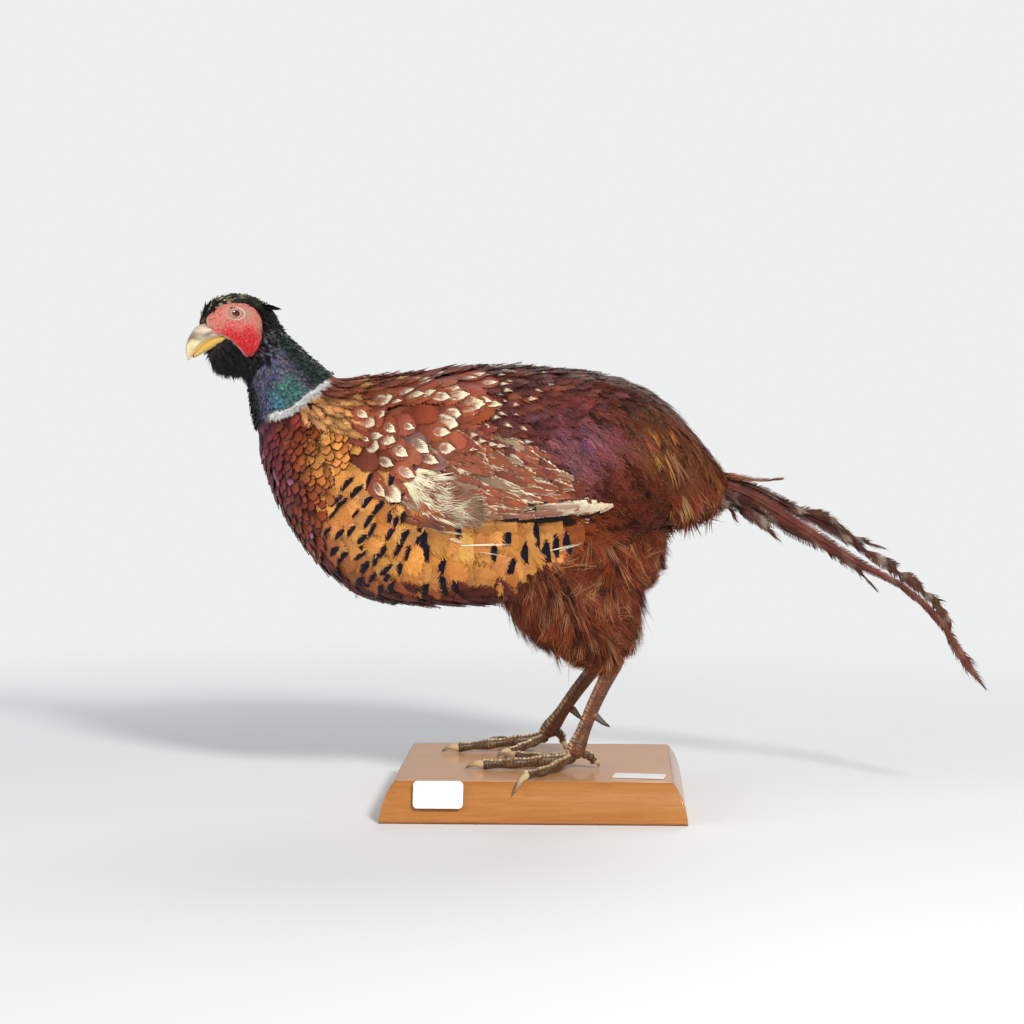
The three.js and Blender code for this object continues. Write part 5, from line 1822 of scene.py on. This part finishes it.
def closed_faces(steps, spokes):
    """Quads of a tube whose ends are drawn together to the two points after its own."""
    count = steps * spokes
    faces = [grid_faces(steps, spokes, wrap=True)[:, ::-1]]
    around = np.arange(0, spokes, 2)
    for tip, start, way in ((count, 0, 1), (count + 1, count - spokes, -1)):
        a, b, c = (start + (around + k) % spokes for k in range(3))
        faces.append(np.stack([a, b, c, np.full(len(a), tip)], -1)[:, ::way])
    return np.vstack(faces)


def build_tube(name, tubed, colour, material, node):
    points, length, turn = tubed
    lie = np.stack([length / length.max(), turn / (2 * math.pi)], -1) * 0.96 + 0.02
    build(name, ended(points * MM + BIRD), closed_faces(*length.shape), material,
          colours={"tint": ended(colour)}, uvs={"OFBake": ended(lie)}, replaces=(node,))


def plates(length, turn, facing, half):
    """Broad plates over one side of a limb and small scales over the rest: how high a point stands on them, 0
    to 1, and how far it is on the plated side."""
    off = np.abs(np.angle(np.exp(1j * (turn - facing))))
    bent = 0.45 * np.sin(1.1 * length + 2 * np.cos(2 * turn))
    length = length + bent + 0.3 * np.sin(0.37 * length + 3 * turn)
    turn = turn + 0.14 * np.sin(0.8 * length + 3 * turn)
    front = smooth(math.radians(half + 16), math.radians(half - 6), off)
    wave = np.mod(length / SCUTE["pitch"] + 0.16 * np.cos(2 * off), 1.0)
    plate = smooth(0.0, 0.22, wave) * (0.55 + 0.45 * wave) * smooth(1.0, 0.93, wave)
    row = np.floor(length / GRAIN_PITCH)
    cell = np.mod(length / GRAIN_PITCH, 1) - 0.5
    around = np.mod(turn * 4.2 / GRAIN_PITCH + 0.5 * np.mod(row, 2), 1) - 0.5
    grain = np.clip(1 - 4.2 * (cell**2 + around**2), 0, 1)
    return plate * front + 0.55 * grain * (1 - front), front


def scaled_limb(name, node, path, radius, grid, facing, seed, brown, worn, half, material, **shape):
    """A scaly shank or toe. Its plates reach half degrees to each side; worn is how far they have paled."""
    def relief(length, turn):
        return SCUTE["height"] * (plates(length, turn, facing, half)[0] - 0.5)

    points, length, turn = tube(path, radius, *grid, relief=relief, **shape)
    height, front = plates(length, turn, facing, half)
    front = front * (worn + (1 - worn) * smooth(0.35, 0.7, length / length.max()))
    patch = drift(points * MM, 12, seed)
    gold = np.clip(0.1 + 0.5 * worn + 0.35 * front + 0.35 * patch, 0, 1) * smooth(0.35, 0.9, height)
    colour = layered(
        LEG_DARK,
        (brown, smooth(0.05, 0.5, height) + 0.5 * (1 - worn)),
        (LEG_GOLD, gold * (0.2 + 0.8 * front) * (0.3 + 0.7 * worn)),
        (PLATE_PALE, (0.3 + 0.7 * worn) * smooth(0.65, 0.9, height) * front),
    )
    build_tube(name, (points, length, turn), colour, material, node)


def leg_material():
    g = Graph("leg_scales", Specular_IOR_Level=0.35)
    fine = g.noise(1400.0, 3.0)
    worn = g.noise(150.0, 3.0)
    colour = g.mix(g.times(g.ramp(worn, 0.45, 0.65), 0.5), g.attribute("tint"), tuple(LEG_DARK))
    g.bump(fine, 0.00012, 0.6)
    return g.finish(colour, g.line(worn, 0.3, 0.28))


def spike(name, node, path, radius, material, colours):
    """A smooth horn that tapers to a point. colours are its base, then (colour, from, to, most) over it."""
    points, length, turn = tube(path, radius, 26, 20)
    share = length / length.max()
    base, *layers = colours
    colour = layered(base, *((over, most * smooth(first, last, share)) for over, first, last, most in layers))
    build_tube(name, (points, length, turn), colour, material, node)


def shank_radius(share):
    knobs = 1.7 * hill(share, 0, 0.16) + 1.5 * hill(share, 0.88, 0.13)
    return (4.5 - 0.8 * share + knobs) * (1 - 0.8 * smooth(0.93, 1.0, share))


def spur_radius(share):
    return 3.1 * smooth(0, 0.25, share) * (1 - share) ** 0.7 + 0.3


def shank_and_spur(tag, foot, scales, horn):
    ankle, knuckle = (np.array(foot[key], float) for key in ("ankle", "knuckle"))
    path = [ankle + (knuckle - ankle) * share + [forward, 0, 0]
            for share, forward in ((-0.06, 0), (0.12, 0.5), (0.5, -0.5), (0.85, 0), (1, 0))]
    path.append(knuckle + [-2, -0.5, -6])
    scaled_limb(f"shank_{tag}", f"tarsus_{tag}", path, shank_radius, (170, 44), -math.pi / 2, 61, LEG_BROWN,
                0.3, 62, scales, flatten=1.18, up=(1.0, 0.0, 0.0))
    root, tip = (np.array(p, float) for p in foot["spur"])
    path = [root - (tip - root) * 0.35, root, (root + tip) / 2 + [0.8, 0, -1.2], tip]
    spike(f"spur_horn_{tag}", f"spur_{tag}", path, spur_radius, horn,
          (LEG_BROWN, (SPUR_GREY, 0.26, 0.42, 1), (CLAW_DARK, 0.5, 1, 1)))


def toe(tag, name, knuckle, line, scales, horn):
    slim = SLIM[name]
    mid, end, point = np.array(line, float)
    start = np.array(knuckle, float) + ((4, 0.5, 0) if name == "hallux" else (-2, -0.5, -3.5))

    def toe_radius(share):
        return slim * (3.3 - 0.7 * share + 0.35 * np.cos(share * math.pi * 6))

    def claw_radius(share):
        return slim * (2.2 * np.maximum(1 - share, 0) ** 0.8 + 0.3)

    scaled_limb(f"digit_{name}_{tag}", f"toe_{name}_{tag}", [start, mid, end], toe_radius, (110, 28),
                math.pi / 2, 62, TOE_BROWN, 0.9, 36, scales)
    begin = end - unit(end - mid) * 0.4
    path = [begin, (begin + point) / 2 + [0, 0, 1.6], point]
    spike(f"nail_{name}_{tag}", f"claw_{name}_{tag}", path, claw_radius, horn,
          (CLAW_PALE, (CLAW_DARK, 0.25, 0.95, 0.8)))


def legs():
    scales, horn = leg_material(), horn_material("claw_horn", 0.4)
    for tag, foot in FEET.items():
        shank_and_spur(tag, foot, scales, horn)
        for name, line in foot["toes"].items():
            toe(tag, name, foot["knuckle"], line, scales, horn)


# ---------------------------------------------------------------- tail
# As in the CAD source: centre line x z from root to tip, distance from the mid plane, half widths, and roll.
TAIL = {
    "main_l": ([(116, 228), (150, 213.5), (187, 191), (222, 169), (257, 149.5), (281.5, 126), (297, 101.5),
                (313.5, 79.3)], -5, (3, 5.5, 6, 4.6, 3.2, 3, 3.6, 5.4, 0.5), 10),
    "upper_l": ([(116, 231), (152, 220), (181.5, 205), (204, 198.5), (218, 189.4)], -1,
                (3, 3.2, 4, 3.2, 0.5), 18),
    "upper_r": ([(116, 230), (157, 215.5), (197, 196), (225.4, 178.6), (250, 163), (269, 149), (285, 131.4),
                 (290.5, 113.5)], 3, (3, 3.4, 3.6, 3.4, 4.6, 3.6, 5, 0.5), -16),
    "broken_r": ([(118, 228), (160, 212), (200, 195.5), (228, 183), (244, 177)], 8,
                 (3, 3.6, 3.4, 2.4, 0.5), -20),
    "low_l": ([(112, 224), (133, 215), (147, 204.5), (159, 192.5), (169.5, 183.4)], -9.5,
              (4, 5, 4.6, 3.6, 0.5), 16),
    "low_r": ([(114, 226), (133, 217.5), (165, 198), (200, 179), (222, 165), (239.3, 146.5)], 11,
              (4, 5, 5.4, 4.2, 3.6, 0.5), -18),
    "short_l": ([(108, 220), (125, 212), (134, 205), (139.5, 196.6)], -14, (4, 4.4, 3, 0.5), 20),
    "short_r": ([(108, 222), (130, 213), (146, 203), (160, 190)], 15, (4, 5, 3.6, 0.5), -22),
    "stray": ([(118, 231), (133, 228.6), (157, 225.2), (171.4, 227.1)], -6, (1.4, 1.4, 1.1, 0.5), 40),
}
BARB_PITCH = 0.9  # mm between the barbs of a tail feather
VANE_CORE = 0.55  # share of a tail vane that holds together
CURL = {"twist": 34.0, "pitch": 27.0}  # degrees and mm: how dried vanes roll to and fro about their shafts


def sway(turns):
    """An uneven wave, from about -1.6 to 1.6."""
    return np.sin(turns) + 0.6 * np.sin(1.7 * turns)


def tail_tint(name, lie, turned, patch):
    """A tail feather's colour: painted light where its vane rolls to the light, painted shade where it rolls
    away.
    """
    across, along = np.abs(lie[:, 0] * 2 - 1), lie[:, 1]
    ground = {"main_l": TAIL_MAROON, "stray": TAIL_RUFOUS}.get(name, mixed(TAIL_DARK, TAIL_MAROON, 0.45))
    # Painted light: paler where the vane rolls towards the light.
    painted_light = smooth(0.1, 0.8, turned) * smooth(0.2, 0.45, along) * (0.2 if name == "main_l" else 0.7)
    return layered(
        ground,
        (TAIL_OLIVE, 0.4 * smooth(0.35, 0.95, along) + 0.2 * patch),
        (TAIL_BEIGE, painted_light * (0.8 + 0.4 * patch)),
        (TAIL_DARK, 0.75 * smooth(0.1, 0.7, -turned) * (0.3 + 0.7 * smooth(0.4, 0.9, across))),
    )


def tail_feather(name, line, y, half, roll, rng):
    """One long feather: a trough-shaped core, barbs that part and fray towards the tip, and a shaft."""
    spine = [(x, y, z) for x, z in line]
    phase = rng.random()
    length = distances(curve_points(spine, 60))[-1]
    rings = max(24, round(length / BARB_PITCH))
    centre = curve_points(spine, rings)
    share = np.linspace(0, 1, rings)
    along = unit(np.gradient(centre, axis=0))
    flat = unit(np.cross(along, [0.0, 1.0, 0.0]))
    waves = 2 * math.pi * (length / CURL["pitch"] * share + phase)
    twist = CURL["twist"] * sway(waves) * smooth(0.1, 0.45, share)
    angle = np.radians(roll + (0.3 if name == "main_l" else 1.0) * twist)[:, None]
    wide = flat * np.cos(angle) + np.cross(along, flat) * np.sin(angle)
    face = np.cross(along, wide)
    width = np.maximum(station_at(np.array(half, float)[:, None], share * (len(half) - 1))[:, 0], 0.35)
    width = width * {"main_l": 1.0, "stray": 2.2}.get(name, 1.2)
    curl = (0.22 + 0.3 * smooth(0.1, 0.8, share)) * width  # the rims bend this far off the shaft

    def at(k, u, forward=0.0):
        """Points of the vane at rings k: across from -1 to 1, and forward along the shaft in mm."""
        return (centre[k] + wide[k] * (u * width[k])[:, None] - face[k] * (curl[k] * u**2)[:, None]
                + along[k] * np.broadcast_to(forward, k.shape)[:, None])

    ring = np.arange(rings)
    columns = np.linspace(-VANE_CORE, VANE_CORE, 5)
    parts = [(np.stack([at(ring, u) for u in columns], 1), columns, share, grid_faces(rings, 5))]
    frayed = smooth(0.62, 0.95, share)
    for side in (-1, 1):
        clump = np.cumsum(rng.normal(0, 0.3, rings))
        clump = clump - np.convolve(clump, np.ones(9) / 9, "same")
        sweep = 2.6 + 3.0 * frayed + 2.2 * clump + rng.normal(0, 0.5, rings) * (0.4 + 1.5 * frayed)
        reach = 1 + 0.12 * clump - np.abs(rng.normal(0, 0.05 + 0.22 * frayed, rings))
        k = ring[rng.random(rings) >= 0.04 + 0.3 * frayed]
        root, joint, rim = side * VANE_CORE * 0.95, side * (VANE_CORE + reach[k]) / 2, side * reach[k]
        grid = np.stack([at(k, u, forward) for u, forward in (
            (root, -0.5 * BARB_PITCH), (root, 0.5 * BARB_PITCH),
            (joint, sweep[k] * 0.45 + 0.5 * BARB_PITCH), (joint, sweep[k] * 0.45 - 0.5 * BARB_PITCH),
            (rim, sweep[k] + 0.3 * BARB_PITCH), (rim, sweep[k] - 0.12))], 1)
        edge = np.array([VANE_CORE, VANE_CORE, 0.8, 0.8, 1.0, 1.0]) * side
        quads = np.array([[0, 1, 2, 3], [3, 2, 4, 5]])[None] + (6 * np.arange(len(k)))[:, None, None]
        parts.append((grid, edge, share[k], quads.reshape(-1, 4)))
    shaft = tube(spine, lambda s: 0.85 * (1 - s) + 0.12, rings, 6)[0] + 0.25 * face[:, None]
    parts.append((shaft, np.zeros(6), share, grid_faces(rings, 6, wrap=True)))

    points = np.vstack([grid.reshape(-1, 3) for grid, *_ in parts])
    lies = [np.broadcast_arrays((across + 1) / 2, rows[:, None]) for _, across, rows, _ in parts]
    lie = np.vstack([np.stack(pair, -1).reshape(-1, 2) for pair in lies])
    starts = np.cumsum([0] + [grid.size // 3 for grid, *_ in parts])
    faces = np.vstack([quads + start for (*_, quads), start in zip(parts, starts)])
    waves = 2 * math.pi * (length / CURL["pitch"] * lie[:, 1] + phase) + 2.5 * lie[:, 0]
    tint = tail_tint(name, lie, sway(waves), drift(points * MM, 18, len(line) + int(abs(y))))
    build(f"tail_vane_{name}", points * MM + BIRD, faces, PLUMAGE["tail"],
          uvs={"lie": lie, "OFBake": lie * 0.96 + 0.02}, values={"chance": np.ones(len(points))},
          colours={"tint": varied(tint, rng, 0.05), "mark": tint * 0.5}, replaces=(f"tail_{name}",))


def tail():
    rng = np.random.default_rng(71)
    for name, (line, y, half, roll) in TAIL.items():
        tail_feather(name, line, y, half, roll, rng)


# ---------------------------------------------------------------- plinth and labels
PLINTH = {"width": 206.5, "depth": 190.0, "height": 27.5, "bevel": 9.8, "steep": (56.0, 88.0)}  # mm, degrees
CORNER = {"radius": 0.9, "steps": 5, "between": 30}  # mm; points round a corner and between two
WOOD = (linear("#84491a"), linear("#ae6e2e"), linear("#c68e4c"))


def wood_material():
    """Reddish varnished wood: fine long grain, broad bands, small dark pores, scratches, a paler top and a
    gloss coat."""
    g = Graph("varnished_wood", Coat_Weight=0.55, Coat_Roughness=0.12, Specular_IOR_Level=0.4)
    stretched = g.node("ShaderNodeMapping", g.place())
    stretched.inputs["Scale"].default_value = (0.06, 1.0, 1.0)
    grain_at = stretched.outputs[0]
    bands = g.noise(38.0, 3.0, grain_at, 0.6)
    grain = g.noise(420.0, 5.0, grain_at, 0.65)
    pores = g.noise(1500.0, 2.0, grain_at)
    colour = g.mix(g.ramp(bands, 0.3, 0.7), tuple(WOOD[0] * 1.5), tuple(WOOD[1]))
    colour = g.mix(g.times(g.ramp(grain, 0.4, 0.65), 0.25), colour, tuple(WOOD[2]))
    colour = g.mix(g.times(g.ramp(pores, 0.6, 0.72), 0.35), colour, tuple(WOOD[0] * 0.5))
    scratched = g.node("ShaderNodeMapping", g.place())
    scratched.inputs["Rotation"].default_value = (0.3, 0.2, 0.5)
    scratched.inputs["Scale"].default_value = (1.0, 0.03, 1.0)
    scratch = g.ramp(g.noise(900.0, 2.0, scratched.outputs[0]), 0.76, 0.8)
    colour = g.mix(g.times(scratch, 0.5), colour, (0.62, 0.42, 0.25))
    up = g.node("ShaderNodeSeparateXYZ", g.node("ShaderNodeNewGeometry").outputs["Normal"]).outputs[2]
    colour = g.mix(g.times(g.ramp(up, 0.9, 0.98), 0.55), colour, (0.9, 0.5, 0.25))
    g.bump(grain, 0.00008, 0.4)
    return g.finish(colour, g.line(grain, 0.15, 0.25))


def bevel_profile(steps):
    """Inset and height, in mm, from the foot of the bevel's arc to the plinth's top."""
    start, end = (math.radians(a) for a in PLINTH["steep"])
    angle = np.linspace(end, start, steps)
    inset = PLINTH["bevel"] * (1 - (np.sin(angle) - math.sin(start)) / (math.sin(end) - math.sin(start)))
    height = PLINTH["height"] * (1 - (math.cos(start) - np.cos(angle)) / (math.cos(start) - math.cos(end)))
    return inset, height


def plinth_ring(inset, height):
    """Points round the plinth, drawn in by an inset: four rounded corners joined by straight runs."""
    x, y = (PLINTH[key] / 2 - inset - CORNER["radius"] for key in ("width", "depth"))
    arcs = []
    for k, middle in enumerate(((x, y), (-x, y), (-x, -y), (x, -y))):
        turn = np.linspace(k, k + 1, CORNER["steps"]) * math.pi / 2
        arcs.append(middle + CORNER["radius"] * np.stack([np.cos(turn), np.sin(turn)], -1))
    shares = np.linspace(0, 1, CORNER["between"] + 2)[1:-1, None]
    flat = []
    for arc, following in zip(arcs, arcs[1:] + arcs[:1]):
        flat += [arc, arc[-1] + (following[0] - arc[-1]) * shares]
    flat = np.vstack(flat)
    return np.column_stack([flat, np.full(len(flat), height)])


def plinth():
    inset, height = bevel_profile(16)
    worn = 0.7  # mm, the worn top edge
    inset = [*inset[:-1], inset[-1] + 0.15, inset[-1] + worn]
    height = [*height[:-1], height[-1] - 0.35, height[-1]]
    walls = [plinth_ring(*level) for level in zip(inset, height)]
    closing = [1 - 0.999 * step for step in np.linspace(0, 1, 8)[1:]]  # rings of the top and underside
    rings = [walls[0] * [share, share, 1] for share in reversed(closing)] + walls
    rings += [walls[-1] * [share, share, 1] for share in closing]
    points = np.vstack(rings)
    dent = 0.12 * np.clip(drift(points * MM, 26, 3), -1, 0)
    points[:, 2] += dent * (points[:, 2] > 27)
    box = (points - points.min(0)) / np.ptp(points, axis=0)
    unwrap = box[:, :2] * 0.7 + 0.15 * (1 - box[:, 2:]) * np.sign(box[:, :2] - 0.5) + 0.15
    faces = grid_faces(len(rings), len(rings[0]), wrap=True)
    piece = build("plinth_wood", points * MM, faces, wood_material(),
                  uvs={"OFBake": unwrap}, replaces=("plinth",))
    piece.modifiers.new("edges", "WEIGHTED_NORMAL").keep_sharp = True


def labels():
    """The two paper labels, left bare."""
    g = Graph("label_paper", 0.75)
    fibre = g.noise(1800.0, 4.0)
    stain = g.noise(90.0, 2.0)
    colour = g.mix(g.times(g.ramp(stain, 0.45, 0.75), 0.25), (0.8, 0.8, 0.79), (0.68, 0.66, 0.62))
    colour = g.mix(g.times(fibre, 0.08), colour, (0.6, 0.6, 0.6))
    g.bump(fibre, 0.00005, 0.4)
    material = g.finish(colour)
    for name in ("label_lot", "label_ticket"):
        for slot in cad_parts[name].material_slots:
            slot.material = material


body_coat()
wing_coat()
ruffles()
fluff_coat()
head()
skin()
legs()
tail()
plinth()
labels()


# ---------------------------------------------------------------- floor, lights and camera
CAMERA = {"place": (54.3, -1744.9, 305.8), "turn": 2.37, "pitch": 3.36, "lens": 87.89}  # mm and degrees
FLOOR_FADE = (0.35, 1.15)  # metres from the plinth over which the floor goes over to the backdrop's colour
BACKDROP = (0.855, 0.86, 0.865)


def stage():
    bpy.ops.mesh.primitive_circle_add(vertices=96, radius=6.0, fill_type="NGON")
    floor = bpy.context.object
    floor.name = "floor"
    g = Graph("floor", 0.7)
    far = g.node("ShaderNodeVectorMath", g.place(), operation="LENGTH").outputs["Value"]
    share = g.ramp(far, *FLOOR_FADE)
    g.finish(g.mix(g.noise(3.0), (0.8, 0.8, 0.8), (0.84, 0.84, 0.84)))
    glow = g.node("ShaderNodeEmission", BACKDROP).outputs[0]
    blend = g.node("ShaderNodeMixShader", share, g.shader.outputs[0], glow)
    g.tree.links.new(blend.outputs[0], g.tree.nodes["Material Output"].inputs["Surface"])
    floor.data.materials.append(g.material)

    world = bpy.data.worlds.new("studio")
    world.use_nodes = True
    bpy.context.scene.world = world
    nodes, links = world.node_tree.nodes, world.node_tree.links
    fill = nodes["Background"]
    fill.inputs["Color"].default_value = (0.93, 0.96, 1.0, 1.0)
    fill.inputs["Strength"].default_value = 0.34
    shown = nodes.new("ShaderNodeBackground")
    shown.inputs["Color"].default_value = (*BACKDROP, 1.0)
    seen = nodes.new("ShaderNodeLightPath")
    both = nodes.new("ShaderNodeMixShader")
    links.new(seen.outputs["Is Camera Ray"], both.inputs[0])
    links.new(fill.outputs[0], both.inputs[1])
    links.new(shown.outputs[0], both.inputs[2])
    links.new(both.outputs[0], nodes["World Output"].inputs["Surface"])


def soft_light(name, place, aim, size, watts, colour=(1.0, 1.0, 1.0)):
    data = bpy.data.lights.new(name, "AREA")
    data.shape = "DISK"
    data.size, data.energy, data.color = size, watts, colour
    lamp = bpy.data.objects.new(name, data)
    lamp.location = place
    lamp.rotation_euler = (Vector(aim) - Vector(place)).to_track_quat("-Z", "Y").to_euler()
    bpy.context.scene.collection.objects.link(lamp)


def lights():
    soft_light("key", (1.0, -2.0, 1.5), (0.0, 0.0, 0.2), 0.4, 60.0, (1.0, 0.985, 0.96))
    soft_light("fill", (-1.9, -1.2, 1.0), (-0.1, 0.0, 0.2), 1.4, 14.0, (0.95, 0.975, 1.0))
    soft_light("back", (0.4, 1.8, 1.6), (0.0, 0.0, 0.2), 1.4, 16.0)


def camera():
    data = bpy.data.cameras.new("camera")
    data.lens = CAMERA["lens"]
    data.clip_start, data.clip_end = 0.05, 40.0
    eye = bpy.data.objects.new("camera", data)
    eye.location = Vector(CAMERA["place"]) * MM
    eye.rotation_euler = (math.radians(90 - CAMERA["pitch"]), 0.0, math.radians(CAMERA["turn"]))
    bpy.context.scene.collection.objects.link(eye)
    bpy.context.scene.camera = eye
    bpy.context.scene.view_settings.view_transform = "Standard"


stage()
lights()
camera()
